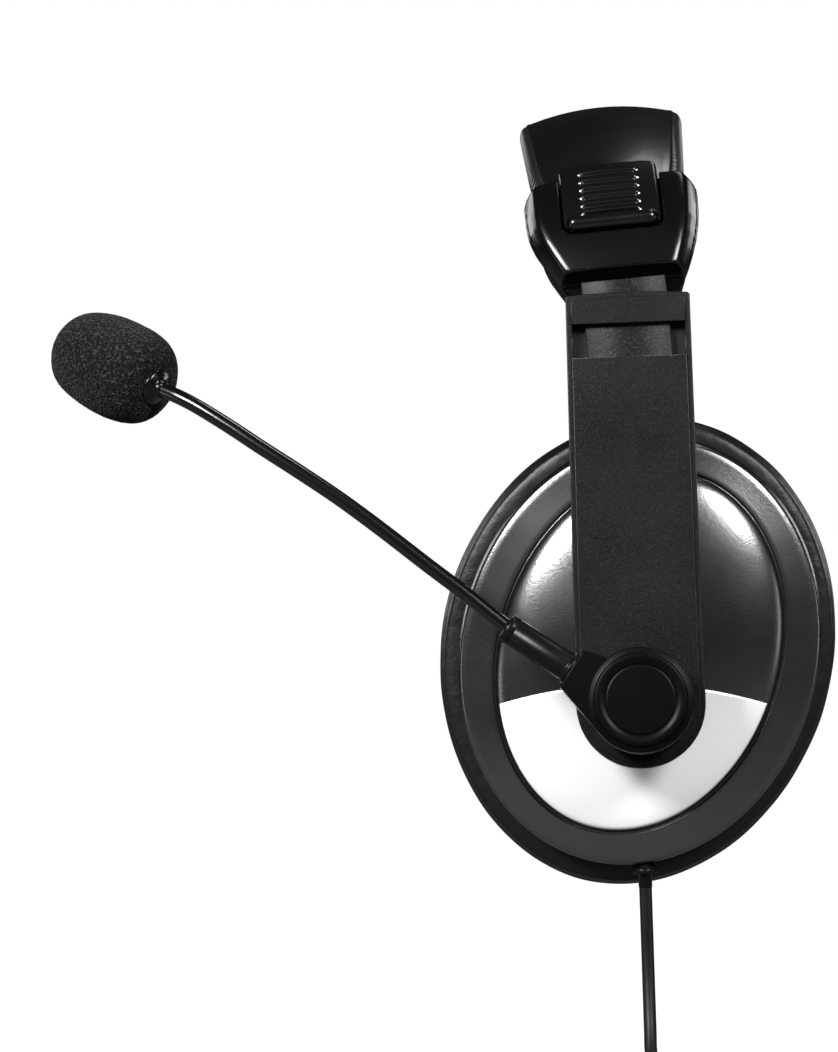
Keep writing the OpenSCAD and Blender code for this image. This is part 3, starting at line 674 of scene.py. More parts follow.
def make_pad():
    """The ribbed inner pad, which bulges past the cover at both edges."""
    profile = [(0, PAD_DEPTH), (6, PAD_DEPTH), (11, PAD_DEPTH - 0.15), (14.5, PAD_DEPTH - 0.9),
               (17.2, PAD_DEPTH - 2.4), (18.9, 8.6), (19.4, 6.6), (19.2, 4.7), (18.2, 3.2), (16.0, 2.9),
               (10, 2.5), (0, 2.2)]
    side = [(v.x, v.y) for v in spline([(x, d, 0) for x, d in profile], 3)]
    section = side + [(-x, d) for x, d in reversed(side[1:-1])]
    rows = []
    for a in band_angles(RIB_PITCH / 8, CAP_A[0] - 0.6):
        mm_along = math.radians(min(abs(a), SHOULDER_A)) * CROWN_R + math.radians(
            max(abs(a) - SHOULDER_A, 0)) * SHOULDER_R
        rib = abs(math.sin(math.pi * mm_along / RIB_PITCH)) ** 0.6
        row = []
        for x, d in section:
            side_wall = smooth((abs(x) - 15.5) / 2.5)
            below = max(smooth((d - 3.4) / 2), side_wall)
            cut = (1 - rib) * 0.75 * below
            row.append(lie(x - math.copysign(cut * side_wall, x), a, d - cut * (1 - 0.6 * side_wall), *PAD_TAPER))
        rows.append(row)
    settle(new_piece("band_ribbed_pad", *loft(rows), BAND), "headband", "pad", ("band_pad",))


# Half-widths of an end cap at heights in the band's frame, and the height of its front face's lower edge.
CAP_OUTLINE = [(80, 13.3), (85, 13.7), (88, 15.3), (91.5, 17), (95, 18.5), (98.5, 19.5), (102, 19.9), (106, 20),
               (116, 19.5)]
CAP_PROUD = 2.5
CAP_SPLIT = 2.6
CAP_DEPTH = 8.8
FACE_LOW = 89.4
FACE_END = math.acos((FACE_LOW - SHOULDER_Z) / (SHOULDER_R + CAP_PROUD))    # that edge's angle
SLOPE = math.tan(math.radians(37))    # of the underside


def slope_depth(angle):
    """Depth at which the cap's sloping underside crosses this angle; far outside it above the front face's edge."""
    a = math.radians(angle)
    y_low = SHOULDER_Y - (SHOULDER_R + CAP_PROUD) * math.sin(FACE_END)
    if a <= FACE_END:
        return -99
    return SHOULDER_R - ((FACE_LOW - SHOULDER_Z - (SHOULDER_Y - y_low) * SLOPE)
                         / (math.cos(a) - SLOPE * math.sin(a)))


def cap_half(angle):
    """Half-width of the cap where its two shells part, rounded off at the horns' tops."""
    z = SHOULDER_Z + (SHOULDER_R - CAP_SPLIT) * math.cos(math.radians(angle))
    return rounded(curve_at(CAP_OUTLINE, z), math.radians(angle - CAP_A[0]) * SHOULDER_R, 1.6)


def cap_rows(angles, section):
    """Rows of points; section(angle) gives right-half (x, depth) pairs from the front's middle to the back's."""
    rows = []
    for a in angles:
        half = [Vector((x, d)) for x, d in section(a)]
        floor = slope_depth(a)
        if floor > half[0].y:
            limit = half[-1].x
            for p, q in zip(half, half[1:]):
                if p.y <= floor <= q.y and q.y > p.y:
                    limit = lerp(p.x, q.x, (floor - p.y) / (q.y - p.y))
                    break
            widest = max([p.x for p in half if p.y < floor] + [0.001])
            half = [Vector((p.x / widest * limit, floor)) if p.y < floor else p for p in half]
        rows.append([on_band(p.x, a, p.y) for p in half] + [on_band(-p.x, a, p.y) for p in reversed(half[1:-1])])
    return rows


def soften(obj, voxel, rounds, factor=0.5):
    """Fuses the closed skins of obj and rounds all its edges."""
    remesh = obj.modifiers.new("fuse", "REMESH")
    remesh.mode = "VOXEL"
    remesh.voxel_size = voxel * MM
    remesh.use_smooth_shade = True
    ease = obj.modifiers.new("ease", "SMOOTH")
    ease.iterations = rounds
    ease.factor = factor
    return bake(obj)


def cut(obj, cutter):
    """Takes cutter away from obj, and removes cutter."""
    bpy.context.view_layer.update()
    boolean = obj.modifiers.new("cut", "BOOLEAN")
    boolean.object = cutter
    boolean.solver = "EXACT"
    bake(obj)
    bpy.data.objects.remove(cutter)


def outer_section(angle):
    """The front shell: a crowned face, a bevel down each side, and the parting face at the back."""
    half = cap_half(angle)
    t = clamp((angle - CAP_A[0]) / 27)
    face = half - lerp(2.1, 1.9, t * t)
    pairs = []
    for u in spread(0, 1, 8):
        x = (face - 1.7) * u
        pairs.append((x, -CAP_PROUD + 0.5 * (x / face) ** 2))
    edge_d = -CAP_PROUD + 0.5
    pairs += [(face - 0.8, edge_d + 0.1), (face - 0.2, edge_d + 0.42), (face + 0.25, edge_d + 1.0)]
    for u in (0.3, 0.6, 0.9):
        pairs.append((lerp(face + 0.25, half, u ** 0.8), lerp(edge_d + 1.0, CAP_SPLIT, u)))
    pairs += [(half, CAP_SPLIT - 0.2), (half - 0.25, CAP_SPLIT), (0, CAP_SPLIT)]
    return pairs


def inner_section(angle):
    """The back shell, a little wider than the front one."""
    half = cap_half(angle)
    return [(0, CAP_SPLIT + 0.05), (half - 0.3, CAP_SPLIT + 0.05), (half + 0.1, CAP_SPLIT + 0.3), (half + 0.35, 4),
            (half + 0.2, 5.6), (half - 0.5, 7.2), (half - 1.7, 8.3), (half - 3.4, CAP_DEPTH), (0, CAP_DEPTH)]


def tab_recess(side):
    """What is cut out of an end cap for its grip tab: round-cornered at its lower end."""
    rows = []
    low = TAB_A[1] + 0.7
    for a in spread(CAP_A[0] - 2, low, 40):
        w = rounded(TAB_W / 2 + 0.35, math.radians(low - a) * SHOULDER_R, 2.0)
        rows.append([on_band(x, a, d) for x, d in ((-w, -4), (w, -4), (w, -0.1), (-w, -0.1))])
    return new_piece("recess", *loft(rows), BAND, side)


def make_end_cap(side):
    """Both shells; last is the angle at which the sloping underside reaches their parting."""
    last = CAP_A[1]
    while slope_depth(last) > CAP_SPLIT - 0.1:
        last -= 0.05
    low = math.degrees(FACE_END)
    corners, below = spread(CAP_A[0], CAP_A[0] + 2.8, 8), CAP_A[0] + 3.4
    angles = corners + spread(below, low, 30) + spread(low + 0.01, last, 8)
    outer = new_piece(f"end_cap_front_{side}", *loft(cap_rows(angles, outer_section)), BAND, side)
    cut(outer, tab_recess(side))
    soften(outer, 0.28, 4)
    settle(outer, "headband", "gloss", (f"end_cap_outer_{side}",))
    angles = corners + spread(below, last, 30) + spread(last + 0.1, CAP_A[1], 10)
    inner = new_piece(f"end_cap_back_{side}", *loft(cap_rows(angles, inner_section)), BAND, side)
    soften(inner, 0.35, 5)
    settle(inner, "headband", "gloss", (f"end_cap_inner_{side}",))


GROOVES = 6
GROOVE_TOP, GROOVE_STEP = 112.0, 1.95    # heights in the band's frame
GROOVE_HALF = 6.5
TAB_PROUD = 2.7
SLAB_A, ROUND_A = 62.1, 62.5    # where the grooved slab stops inside the roll, and where its corners would close
ROLL_A, ROLL_R = 60.8, 1.85


def tab_height(x):
    """How far the grip's crowned face stands out of the band at x."""
    return TAB_PROUD - 0.45 * (2 * x / TAB_W) ** 2


def groove_angle(k):
    """The angle at which groove k crosses the grip's face."""
    return math.degrees(math.acos((GROOVE_TOP - GROOVE_STEP * k - SHOULDER_Z) / (SHOULDER_R + TAB_PROUD)))


def make_grip_tab(side):
    """The finger grip: six grooves with a pin at both ends of each, and a smooth roll below them."""
    half = TAB_W / 2
    xs = spread(-1, 1, 60)
    rows = []
    for a in spread(TAB_A[0], SLAB_A, 150):
        near = min(math.radians(a - TAB_A[0]), math.radians(ROUND_A - a)) * SHOULDER_R
        w = rounded(half, near, 2.2)
        groove = 0
        for k in range(GROOVES):
            off = math.radians(a - groove_angle(k)) * SHOULDER_R
            groove = max(groove, math.exp(-(off / 0.55) ** 4))
        end = smooth((near - 0.1) / 0.9)
        front = []
        for u in xs:
            x = u * w
            edge = clamp((w - abs(x)) / 0.8)
            top = tab_height(x) - 0.5 * (1 - math.sqrt(max(1 - (1 - edge) ** 2, 0)))
            inside = clamp((GROOVE_HALF - abs(x)) / 0.25)
            front.append((x, -(top * lerp(0.8, 1, end)) + 0.75 * groove * inside))
        rows.append([on_band(x, a, d) for x, d in front] + [on_band(w, a, 0), on_band(-w, a, 0)])
    slab = new_piece("slab", *loft(rows), BAND, side)
    reach = half - 0.9 - ROLL_R
    profile = [(ROLL_R * math.sin(t), -reach - ROLL_R * math.cos(t)) for t in spread(0, math.pi / 2, 8)]
    profile += [(r, -z) for r, z in reversed(profile)]
    level = Matrix.Translation(on_band(0, ROLL_A, -TAB_PROUD + 0.35)) @ Matrix.Rotation(math.pi / 2, 4, "Y")
    roll = new_piece("roll", *lathe(profile, 40), BAND @ level, side)
    tab = soften(join(f"grip_tab_body_{side}", slab, roll), 0.2, 2, 0.4)
    settle(tab, "headband", "tab", (f"grip_tab_{side}",))
    pins, pin_r = [], 0.34
    dome = [(pin_r * math.sin(t), pin_r * math.cos(t)) for t in spread(0, math.pi * 0.6, 8)]
    for k in range(GROOVES):
        a = groove_angle(k)
        for x in (-GROOVE_HALF - 0.25, GROOVE_HALF + 0.25):
            at = Matrix.Translation(on_band(x, a, -tab_height(x) + 0.1)) @ Matrix.Rotation(math.radians(a), 4, "X")
            pins.append(new_piece("pin", *lathe(dome, 16), BAND @ at, side))
    dots = join(f"grip_tab_pins_{side}", *pins)
    settle(dots, "headband", "steel")


def make_strip(side):
    """The slider strip: a flat ribbon with eased front edges, from inside the end cap down into the arm."""
    d0, d1 = STRIP_DEPTHS
    half = STRIP_W / 2
    section = [(half - 0.25, d0), (half, d0 + 0.25), (half, d1), (-half, d1), (-half, d0 + 0.25), (-half + 0.25, d0)]
    rows = [[BAND @ on_band(x, a, d) for x, d in section]
            for a in spread(60, math.degrees(math.pi / 2 - LEAN), 16)]
    low = WINDOW[0] - ARM_TRAVEL - STRIP_SPARE
    for z in spread(ARM_L - 4, low, 4):
        rows.append([BAND @ ARM @ Vector((x, d - 0.05, z)) for x, d in section])
    strip = new_piece(f"strip_ribbon_{side}", *loft(rows), side=side)
    settle(strip, "headband", "strip", (f"slider_strip_{side}",))


make_cover()
make_pad()
for side in SIDES:
    make_end_cap(side)
    make_grip_tab(side)
    make_strip(side)


# ---------------------------------------------------------------- arms

def arm_line(inset=0.0, bulge=0.5):
    """Outline of an arm in X and Z: round at the pivot, a little narrower at the top, whose edge bows up."""
    w0, w1 = ARM_W / 2 - inset, ARM_TOP_W / 2 - inset
    top = ARM_L - inset
    corner = 0.5
    points = [(w0 * math.cos(a), w0 * math.sin(a)) for a in spread(-math.pi, 0, 59)]
    points += [(w1, top - corner)]
    for u in spread(1, -1, 12):
        points.append((u * (w1 - corner), top + bulge * (1 - u * u)))
    points += [(-w1, top - corner)]
    return points


def box_line(x0, x1, z0, z1):
    return [(x0, z0), (x0, z1), (x1, z1), (x1, z0)]


def make_arm(side):
    """The outer bracket (frame, two raised faces, the pocket's walls, solid lower end), its back and screws."""
    half, w = POCKET_W / 2, ARM_TOP_W / 2
    hole = box_line(-half, half, *WINDOW)
    front = plate("front", [arm_line(), hole], 0.45, 1.45, 0.28, ARM, side)
    inset = 1.15
    edge, line = w - inset, arm_line(inset, 0.4)
    below = [p for p in line if p[1] < WINDOW[0]] + [(edge, WINDOW[0]), (-edge, WINDOW[0])]
    above = [p for p in line if p[1] > WINDOW[1]] + [(-edge, WINDOW[1]), (edge, WINDOW[1])]
    faces = [plate("face", [part], 0.0, 0.9, 0.18, ARM, side) for part in (below, above)]
    walls = []
    for sign in (-1, 1):
        line = [(sign * half, POCKET_FROM), (sign * half, ARM_L - 0.5), (sign * w, ARM_L - 0.5),
                (sign * curve_at([(0, ARM_W / 2), (ARM_L, w)], POCKET_FROM), POCKET_FROM)]
        walls.append(plate("wall", [line if sign > 0 else line[::-1]], 1.2, 3.8, 0.12, ARM, side))
    lower = [p for p in arm_line() if p[1] <= 0]
    lower += [(ARM_W / 2 - 0.15, POCKET_FROM), (-ARM_W / 2 + 0.15, POCKET_FROM)]
    block = plate("block", [lower], 1.2, 3.8, 0.15, ARM, side)
    shell = join(f"arm_front_{side}", front, block, *faces, *walls)
    settle(shell, f"arm_{side}", "arm", (f"arm_shell_{side}",))

    back = plate("back", [arm_line(0.15, 0.5)], 3.85, ARM_T, 0.3, ARM, side)
    ears = []
    for low in (5.2, -8.2):
        ear = [(-3.5, 4.6)] + [(3.5 * math.cos(a), 7.7 + 3.5 * math.sin(a)) for a in spread(math.pi, 0, 16)]
        ear += [(3.5, 4.6)]
        stand = ARM @ Matrix.Translation((0, 0, low + 3)) @ Matrix.Rotation(-math.pi / 2, 4, "X")
        ears.append(plate("ear", [ear], 0, 3, 0.3, stand, side))
    pads = []
    for x in (-8.5, 8.5):
        at = ARM @ Matrix.Translation((x, ARM_T, 22)) @ FACING_OUT @ Matrix.Rotation(math.pi, 4, "X")
        head = [(0, -0.1), (0.45, -0.1), (0.5, 0.25), (1.5, 0.3), (1.85, 0.1), (1.9, -0.4), (0, -0.4)]
        pads.append(new_piece("screw", *lathe(head, 28), at, side))
    inner = join(f"arm_back_{side}", back, *ears)
    settle(inner, f"arm_{side}", "inner", (f"arm_plate_{side}",))
    screws = join(f"arm_screw_heads_{side}", *pads)
    settle(screws, f"arm_{side}", "steel", (f"arm_screws_{side}",))


def make_pivot_cap():
    """The plain cap that the right arm has where the left one has the boom's hub."""
    r = HUB_R
    profile = [(0, -1), (r - 0.3, -1), (r - 0.3, 0.15), (r, 0.3), (r, 2.1), (r - 0.2, 2.5), (r - 1.5, 3.05),
               (r - 1.9, 3.1), (8.1, 3.1), (8.0, 2.95), (7.9, 2.95), (7.8, 3.1), (7.4, 3.2), (0, 3.3)]
    cap = new_piece("pivot_cap_disc", *lathe(profile, 96), ARM @ FACING_OUT, "right")
    settle(cap, "arm_right", "hub", ("pivot_cap_right",))


for side in SIDES:
    make_arm(side)
make_pivot_cap()


# ---------------------------------------------------------------- boom

BOOM_OFF, BOOM_D = 9.2, 3.4
HUB_FROM, HUB_PLATE = 0.55, 13.1
NECK_AT, NECK_A, NECK_FACE = (-15.2, 7.5), math.radians(34.7), 9.8
SLEEVE_L = 17.6
BOOM_ROUTE = [(33.2, 30.4, 9.2), (39, 31.8, 9.2), (47.6, 33.4, 9.2), (57, 34.3, 9.2), (70.5, 35.3, 9.2),
              (82, 35.7, 9.2), (93, 35.7, 9), (104, 35.6, 8.4), (112.5, 35.6, 7.6), (121, 35.5, 6.4),
              (126.5, 35.3, 5.2), (131.3, 35, 3.4)]
MIC_UP, MIC_IN = math.radians(30), math.radians(27)
FOAM_D, FOAM_L = 24.2, 29.6


def along(distance, angle, off):
    """A point in the arm's frame at a distance from the pivot, an angle above level, and off from the arm's face."""
    return Vector((-distance * math.cos(angle), -off, distance * math.sin(angle)))


def beyond(t, across=0.0):
    """A point on the sleeve's axis, t beyond the neck's end face; across moves it up that face."""
    c, s = math.cos(NECK_A), math.sin(NECK_A)
    return Vector((NECK_AT[0] - t * c + across * s, -BOOM_OFF, NECK_AT[1] + t * s + across * c))


def aimed(start, end):
    """A frame at start whose +Z points at end."""
    turn = (Vector(end) - Vector(start)).to_track_quat("Z", "Y").to_matrix().to_4x4()
    return Matrix.Translation(start) @ turn


def make_hub():
    """The hub's barrel with its neck, and the cap disc set in its face."""
    top = HUB_PLATE + 0.9
    disc_r = HUB_R - 1.45
    profile = [(0, HUB_FROM), (HUB_R - 0.6, HUB_FROM), (HUB_R - 0.15, HUB_FROM + 0.2), (HUB_R, HUB_FROM + 0.6),
               (HUB_R, HUB_PLATE - 0.45), (HUB_R - 0.12, HUB_PLATE - 0.12), (HUB_R - 0.4, HUB_PLATE),
               (disc_r + 0.2, HUB_PLATE), (disc_r + 0.05, HUB_PLATE + 0.1), (disc_r, top - 0.35),
               (disc_r - 0.1, top - 0.1), (disc_r - 0.35, top), (8.15, top), (8.0, top - 0.25), (0, top - 0.25)]
    barrel = new_piece("barrel", *lathe(profile, 128), ARM @ FACING_OUT)
    low, high = beyond(0, -NECK_FACE / 2), beyond(0, NECK_FACE / 2)
    line = [(low.x, low.z), (-9.4, -7.2), (0, 0), (-3.9, 8.6), (high.x, high.z)]
    neck = plate("neck", [line], -HUB_PLATE + 0.02, -BOOM_OFF + 3.9, 0.35, ARM)
    hub = join("boom_hub_body", barrel, neck)
    settle(hub, "boom", "hub", ("boom_hub",))
    face = [(0, top - 0.6), (7.85, top - 0.6), (7.85, top - 0.1), (7.75, top), (7.3, top + 0.02), (4, top + 0.04),
            (0, top + 0.05)]
    cap = new_piece("hub_cap_disc", *lathe(face, 128), ARM @ FACING_OUT)
    settle(cap, "boom", "hub", ("hub_cap",))


def make_sleeve():
    """The rubber sleeve: a collar at the neck, a groove near its far end and a rounded mouth round the boom."""
    start, end = beyond(-0.2), beyond(SLEEVE_L)
    length = (end - start).length
    profile = [(0, 0), (3.75, 0.05), (3.85, 0.35), (3.85, 0.8), (3.7, 1.1), (3.42, 1.25), (3.38, 1.6),
               (3.3, length - 2.6), (3.12, length - 2.4), (3.12, length - 2.2), (3.3, length - 2.0),
               (3.38, length - 1.5), (3.38, length - 0.7), (3.2, length - 0.2), (2.7, length + 0.1),
               (2.1, length + 0.15), (1.9, length - 0.1), (1.6, length - 0.3), (0, length - 0.3)]
    sleeve = new_piece("boom_grip_sleeve", *lathe(profile, 64), ARM @ aimed(start, end))
    settle(sleeve, "boom", "rubber", ("boom_sleeve",))


def make_foam(at):
    """The windshield: a squarish egg with a slow swell, fine pores and a hollow where the boom goes in."""
    steps, squareness = 150, 3
    middle = Vector((0, 0, FOAM_L / 2))
    rows = []
    for t in spread(0, math.pi, steps)[1:-1]:
        c, s = math.cos(t), math.sin(t)
        reach = (abs(c) ** squareness + abs(s) ** squareness) ** (-1 / squareness)
        z = FOAM_L / 2 * (1 - reach * c)
        r = FOAM_D / 2 * reach * s * lerp(1.0, 0.89, z / FOAM_L)
        row = [Vector((r * math.cos(a), r * math.sin(a), z)) for a in around(300)]
        for p in row:
            out = (p - middle).normalized()
            swell = 0.25 * noise.noise(p * 0.12 + Vector((3, 1, 7)))
            pores = noise.noise(p * 2.6) * 0.10 + noise.noise(p * 5.2 + Vector((9, 9, 9))) * 0.07
            hollow = math.exp(-((p.x ** 2 + p.y ** 2) / 28) - (p.z / 3) ** 2)
            p += out * (swell + pores)
            p.z += hollow
        rows.append(row)
    foam = new_piece("mic_windshield", *loft(rows), at @ Matrix.Translation((0, 0, 1.2)))
    settle(foam, "boom", "foam", ("mic_foam",))


def make_boom():
    """The boom's tube, and at its tip the microphone's collar and windshield."""
    route = [beyond(SLEEVE_L - 4.5)]
    route += [along(d, math.radians(a), off) for d, a, off in BOOM_ROUTE]
    tip = route[-1]
    rod = new_piece("boom_rod", *tube([ARM @ p for p in spline(route, 10)], BOOM_D / 2, 28))
    settle(rod, "boom", "boom", ("boom_tube",))

    mic = Vector((-math.cos(MIC_UP) * math.cos(MIC_IN), math.sin(MIC_IN), math.sin(MIC_UP) * math.cos(MIC_IN)))
    at = ARM @ aimed(tip, tip + mic)
    ring = [(0, -0.6), (1.85, -0.6), (2.1, -0.3), (2.15, 0.3), (2.4, 0.7), (3.6, 1.1), (4.15, 1.45), (4.3, 1.9),
            (4.3, 3.0), (4.1, 3.3), (3.9, 3.4), (3.9, 4.6), (0, 4.6)]
    holder = new_piece("mic_collar", *lathe(ring, 64), at)
    settle(holder, "boom", "gloss", ("mic_holder",))
    make_foam(at)


make_hub()
make_sleeve()
make_boom()


# ---------------------------------------------------------------- cups

CUSHION_Y = (41.0, 59.0)
CUSHION_A, CUSHION_B = 56.0, 46.7
EAR_A, EAR_B = 33.0, 24.0
FLANGE_BACK = 61.0
FLANGE_A, FLANGE_B = 50.3, 41.6
DOME_A, DOME_B = 42.6, 32.3
DOME_Y, DOME_H = 69.8, 6.2
RAKES = {"cushion": 15.0, "flange": 16.0, "dome": 19.0}


def leaning(part):
    """The frame of an oval part of the left cup: X backwards, Y inwards, Z up along its leaning long axis."""
    return Matrix.Rotation(math.radians(RAKES[part]), 4, "Y")


OVAL_POINTS = 144


def oval(b, a, y, count=OVAL_POINTS):
    return [Vector((b * math.cos(t), -y, a * math.sin(t))) for t in around(count)]


def dome_y(s):
    """How far out the dome's face is at a share s of the way to its edge."""
    return DOME_Y + DOME_H * (1 - min(s, 1) ** 2) ** 0.6


def gimbal_cutter(side):
    """The opening in the dome that the gimbal goes into."""
    line = fillet(box_line(-4.4, 4.4, -6.7, 6.7) + [(-4.4, -6.7)], 0.8)
    return plate("cutter", [line[:-1]], 9, 24, 0.05, ARM, side)


def make_shell(side):
    """Flange and dome as one closed moulding: outer skin from the rim to the apex, then the inner skin back."""
    flat, turned = leaning("flange"), leaning("dome")
    shift = round(OVAL_POINTS * (RAKES["dome"] - RAKES["flange"]) / 360)

    def flange_row(grow, y):
        return [flat @ p for p in oval(FLANGE_B + grow, FLANGE_A + grow, y)]

    def dome_row(b, a, y):
        """An oval of the dome, begun beside the point that the flange's ovals begin at."""
        row = [turned @ p for p in oval(b, a, y)]
        return row[-shift:] + row[:-shift]

    rim = [(0, FLANGE_BACK), (0, 61.3), (0.35, 61.7), (0.35, 62.2), (0, 62.5), (0, 67.3), (-0.12, 67.8),
           (-0.5, 68.3), (-1.0, 68.55)]
    rows = [flange_row(grow, y) for grow, y in rim]
    edge, foot = rows[-1], dome_row(DOME_B + 1.0, DOME_A + 1.0, DOME_Y)
    rows += [[p.lerp(q, t) for p, q in zip(edge, foot)] for t in spread(0, 1, 6)[1:]]
    groove = [(0.85, DOME_Y), (0.7, 69.4), (0.35, 69.3), (0.2, 69.4), (0.1, 69.75)]
    rows += [dome_row(DOME_B + grow, DOME_A + grow, y) for grow, y in groove]
    for k in range(40):
        s = math.cos(math.pi / 2 * k / 40) ** 0.9
        rows.append(dome_row(DOME_B * s, DOME_A * s, dome_y(s)))
    for k in range(1, 13):
        s = math.sin(math.pi / 2 * k / 12)
        rows.append(dome_row((DOME_B - 2) * s, (DOME_A - 2) * s, dome_y(s) - 2.2))
    rows += [flange_row(-2.2, 66.8), flange_row(-2.2, FLANGE_BACK)]
    n = len(rows[0])
    verts, faces = loft(rows, capped=False)
    last = (len(rows) - 1) * n
    faces += [(last + j, last + (j + 1) % n, (j + 1) % n, j) for j in range(n)]
    shell = new_piece(f"cup_moulding_{side}", verts, faces, side=side)
    cut(shell, gimbal_cutter(side))
    ears = []
    for sign in (-1, 1):
        x0 = sign * 4.2
        ear = box_line(min(x0, x0 + sign * 3), max(x0, x0 + sign * 3), -3.2, 3.2)
        ears.append(plate("ear", [ear], 11.4, 16.8, 0.3, ARM, side))
    whole = join(f"cup_shell_skin_{side}", shell, *ears)
    settle(whole, f"cup_{side}", "shell", (f"cup_shell_{side}",))


INSERT_EDGE, INSERT_EDGE_R = (-4.5, -6.8), 98.0
INSERT_GAP = 0.5
INSERT_CLEAR = 10.5    # radius of the cut round the gimbal


def halve(inside, outside, test):
    """The last value on the way from inside, which passes the test, to outside, which fails it."""
    for _ in range(30):
        middle = (inside + outside) / 2
        if test(middle):
            inside = middle
        else:
            outside = middle
    return inside


def make_insert(side):
    """The bright lower part of the dome's face: a thin plate that follows the dome, cut away round the gimbal."""
    back = leaning("dome").inverted()

    def share(x, z, gap=0.0):
        """How far out towards the dome's edge, less a gap, a point of its face lies: 1 is on the edge."""
        p = back @ Vector((x, 0, z))
        return math.hypot(p.x / (DOME_B - gap), p.z / (DOME_A - gap))

    def top(x):
        z = INSERT_EDGE[1] - INSERT_EDGE_R + math.sqrt(INSERT_EDGE_R ** 2 - (x - INSERT_EDGE[0]) ** 2)
        if abs(x) < INSERT_CLEAR:
            z = min(z, PIVOT.z - math.sqrt(INSERT_CLEAR ** 2 - x * x))
        return z

    def low(x):
        return halve(top(x), -60.0, lambda z: share(x, z, INSERT_GAP) <= 1)

    def limit(end):
        return halve(0.0, end, lambda x: share(x, top(x), INSERT_GAP) < 1)

    left, right = limit(-45.0), limit(45.0)
    corners = [sign * (INSERT_CLEAR - step) for sign in (-1, 1) for step in (0, 0.05)]
    xs = sorted([left + (right - left) * (1 - math.cos(math.pi * i / 130)) / 2 for i in range(131)] + corners)
    ts = [0, 0.006, 0.02, 0.04] + spread(0.08, 0.92, 20) + [0.96, 0.98, 0.994, 1]
    rows = []
    for x in xs:
        z1, z0 = top(x), low(x)
        front, rear = [], []
        for t in ts:
            z = lerp(z1, z0, t)
            border = min(min(t, 1 - t) * (z1 - z0), x - left, right - x)
            up = 0.32 - 0.3 * (1 - clamp(border / 0.5)) ** 2
            y = dome_y(share(x, z))
            front.append(Vector((x, -y - up, z)))
            rear.append(Vector((x, -y + 0.9, z)))
        rows.append(front + rear[::-1])
    insert = new_piece(f"cup_insert_plate_{side}", *loft(rows), side=side)
    settle(insert, f"cup_{side}", "silver", (f"cup_insert_{side}",))


CUSHION_SLIM = 0.93    # share of its thickness that the skin has before the cloth solver swells it
FULLER_IN_FRONT, FULLER_BELOW = 1.1, 1.8


def ring_section():
    """Right-hand section of the cushion as (share from the opening to the rim, distance in from its back)."""
    thick = CUSHION_Y[1] - CUSHION_Y[0]
    points = [(0.10, 0.2), (0.5, 0), (0.86, 0.2), (0.955, 1.6), (0.985, 4), (1.0, 8), (0.965, 12.5), (0.86, 15.8),
              (0.68, 17.6), (0.5, 18), (0.3, 17.5), (0.13, 15.6), (0.03, 12), (0.0, 7.5), (0.02, 3)]
    closed = points[-1:] + points + points[:2]
    eased = spline([(s, d, 0) for s, d in closed], 3)[3:-4]
    return [(0.5 + (p.x - 0.5) * CUSHION_SLIM, thick / 2 + (p.y - thick / 2) * CUSHION_SLIM) for p in eased]


def ring_rows():
    """Sections all round the cushion, which is a little fuller in front and below."""
    rows = []
    section = ring_section()
    for a in around(112):
        row = []
        for s, d in section:
            rx = lerp(EAR_B, CUSHION_B + FULLER_IN_FRONT * max(-math.cos(a), 0), s)
            rz = lerp(EAR_A, CUSHION_A + FULLER_BELOW * max(-math.sin(a), 0), s)
            row.append(Vector((rx * math.cos(a), -(CUSHION_Y[1] - d), rz * math.sin(a))))
        rows.append(row)
    rows.append(rows[0])
    return rows


PUFF_FRAMES = 20


def puff(obj, held_from, most):
    """Swells a closed skin with the cloth solver, its back held still, and caps how far each point moves."""
    rest = [v.co.copy() for v in obj.data.vertices]
    held = obj.vertex_groups.new(name="held")
    held.add([i for i, p in enumerate(rest) if -p.y > held_from], 1.0, "ADD")
    cloth = obj.modifiers.new("cloth", "CLOTH")
    settings = cloth.settings
    settings.quality = 6
    settings.mass = 0.2
    settings.use_pressure = True
    settings.uniform_pressure_force = 4
    settings.tension_stiffness = 12
    settings.compression_stiffness = 8
    settings.bending_stiffness = 0.4
    settings.effector_weights.gravity = 0
    settings.vertex_group_mass = "held"
    cloth.collision_settings.use_collision = False
    cloth.point_cache.frame_end = PUFF_FRAMES
    scene = bpy.context.scene
    for frame_number in range(1, PUFF_FRAMES + 1):
        scene.frame_set(frame_number)
    graph = bpy.context.evaluated_depsgraph_get()
    swollen = bpy.data.meshes.new_from_object(obj.evaluated_get(graph))
    scene.frame_set(1)
    obj.modifiers.clear()
    obj.vertex_groups.clear()
    for v, before, after in zip(obj.data.vertices, rest, swollen.vertices):
        move = after.co - before
        if move.length > most:
            move *= most / move.length
        v.co = before + move
    bpy.data.meshes.remove(swollen)


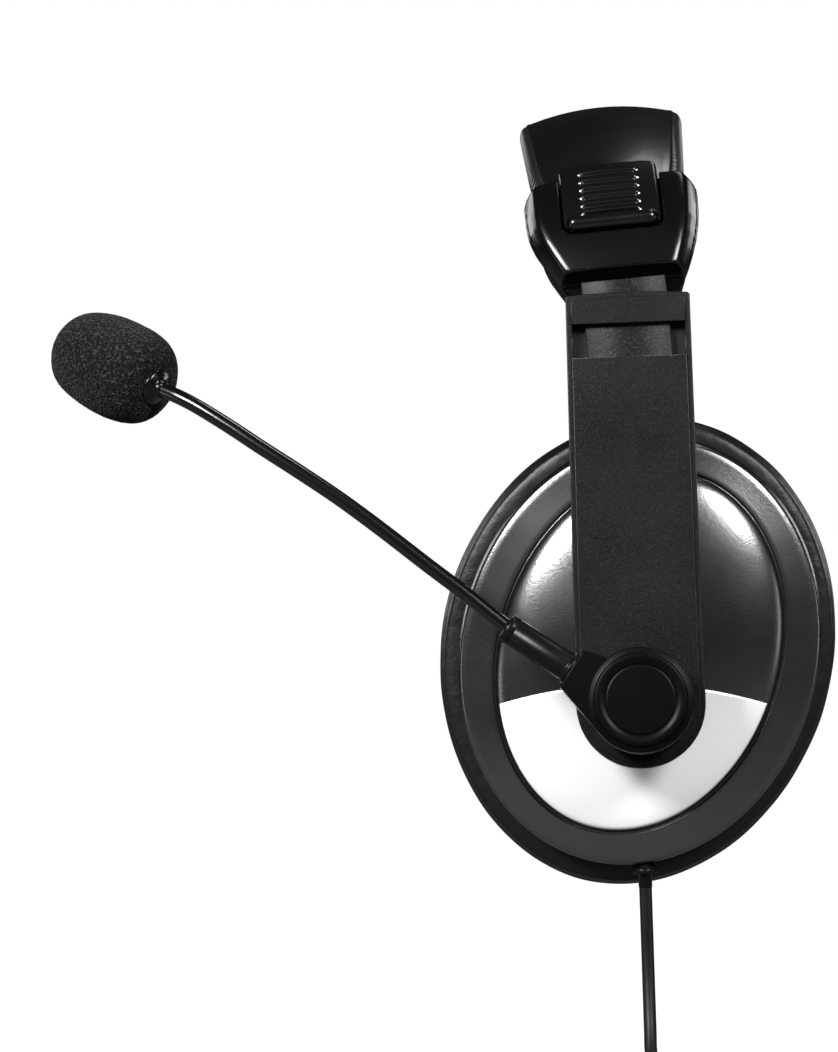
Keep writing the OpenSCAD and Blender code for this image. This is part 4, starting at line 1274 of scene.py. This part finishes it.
def make_cushions():
    """The ear cushions: leatherette over foam, drawn in at the opening and welded along a seam at the back."""
    lean = leaning("cushion")
    left = new_piece("ear_cushion_left", *loft(ring_rows(), capped=False), lean)
    puff(left, (CUSHION_Y[1] - 3.5) * MM, 1.6 * MM)
    back = lean.inverted()
    for v in left.data.vertices:
        p = back @ (v.co / MM)
        angle = math.atan2(p.z / CUSHION_A, p.x / CUSHION_B)
        near_hole = math.hypot(p.x / EAR_B, p.z / EAR_A)
        depth = CUSHION_Y[1] + p.y
        gather = smooth((1.28 - near_hole) / 0.28) * smooth((16 - depth) / 8)
        wave = math.sin(angle * 46 + 3 * noise.noise(Vector((math.cos(angle) * 3, math.sin(angle) * 3, 0))))
        soft = noise.noise(p * 0.09 + Vector((5, 2, 1)))
        seam = math.exp(-((depth - 2.6) / 0.5) ** 2) * 0.55
        out = Vector((p.x, 0, p.z)).normalized()
        hold = -1 if near_hole < 1.35 else 1
        p += out * hold * (0.28 * gather * wave + 0.22 * soft - seam)
        v.co = (lean @ p) * MM
    subdivide = left.modifiers.new("round", "SUBSURF")
    subdivide.levels = subdivide.render_levels = 1
    other = bake(left).data.copy()
    other.transform(MIRROR["right"])
    other.flip_normals()
    right = link("ear_cushion_right", other)
    for obj, side in ((left, "left"), (right, "right")):
        settle(obj, f"cup_{side}", "cushion", (f"cushion_{side}",))


def make_speaker_cloth(side):
    """The open-weave cloth over the driver, held at its edge and pushed out a little by the foam behind it."""
    b, a = EAR_B + 0.6, EAR_A + 0.6
    count = 96
    rows = []
    for s in spread(0, 1, 24)[1:]:
        bulge = 2.4 * (1 - s * s) ** 1.2
        rows.append(oval(b * s, a * s, CUSHION_Y[1] - 1.0 - bulge, count))
    verts, faces = loft(rows, capped=False)
    verts.append(rows[0][0].lerp(rows[0][count // 2], 0.5))
    faces += [(len(verts) - 1, (j + 1) % count, j) for j in range(count)]
    cloth = new_piece(f"driver_cloth_{side}", verts, faces, leaning("cushion"), side)
    settle(cloth, f"cup_{side}", "cloth", (f"speaker_cloth_{side}",))


for side in SIDES:
    make_shell(side)
    make_insert(side)
    make_speaker_cloth(side)
make_cushions()


# ---------------------------------------------------------------- CAD pieces that keep their own shape

KEPT = {
    "steel": ["band_spring", "cap_screws", "boom_axle", "cup_screws_left", "cup_screws_right",
              "swivel_pin_left", "swivel_pin_right", "tilt_pin_left", "tilt_pin_right",
              "driver_magnet_left", "driver_magnet_right"],
    "inner": ["pivot_block_left", "pivot_block_right", "baffle_left", "baffle_right",
              "driver_frame_left", "driver_frame_right", "friction_washer", "mic_capsule"],
    "film": ["diaphragm_left", "diaphragm_right"],
}

for material, names in KEPT.items():
    for name in names:
        mesh = frame["nodes"][name].data
        mesh.materials.clear()
        mesh.materials.append(materials[material])

make_floor()
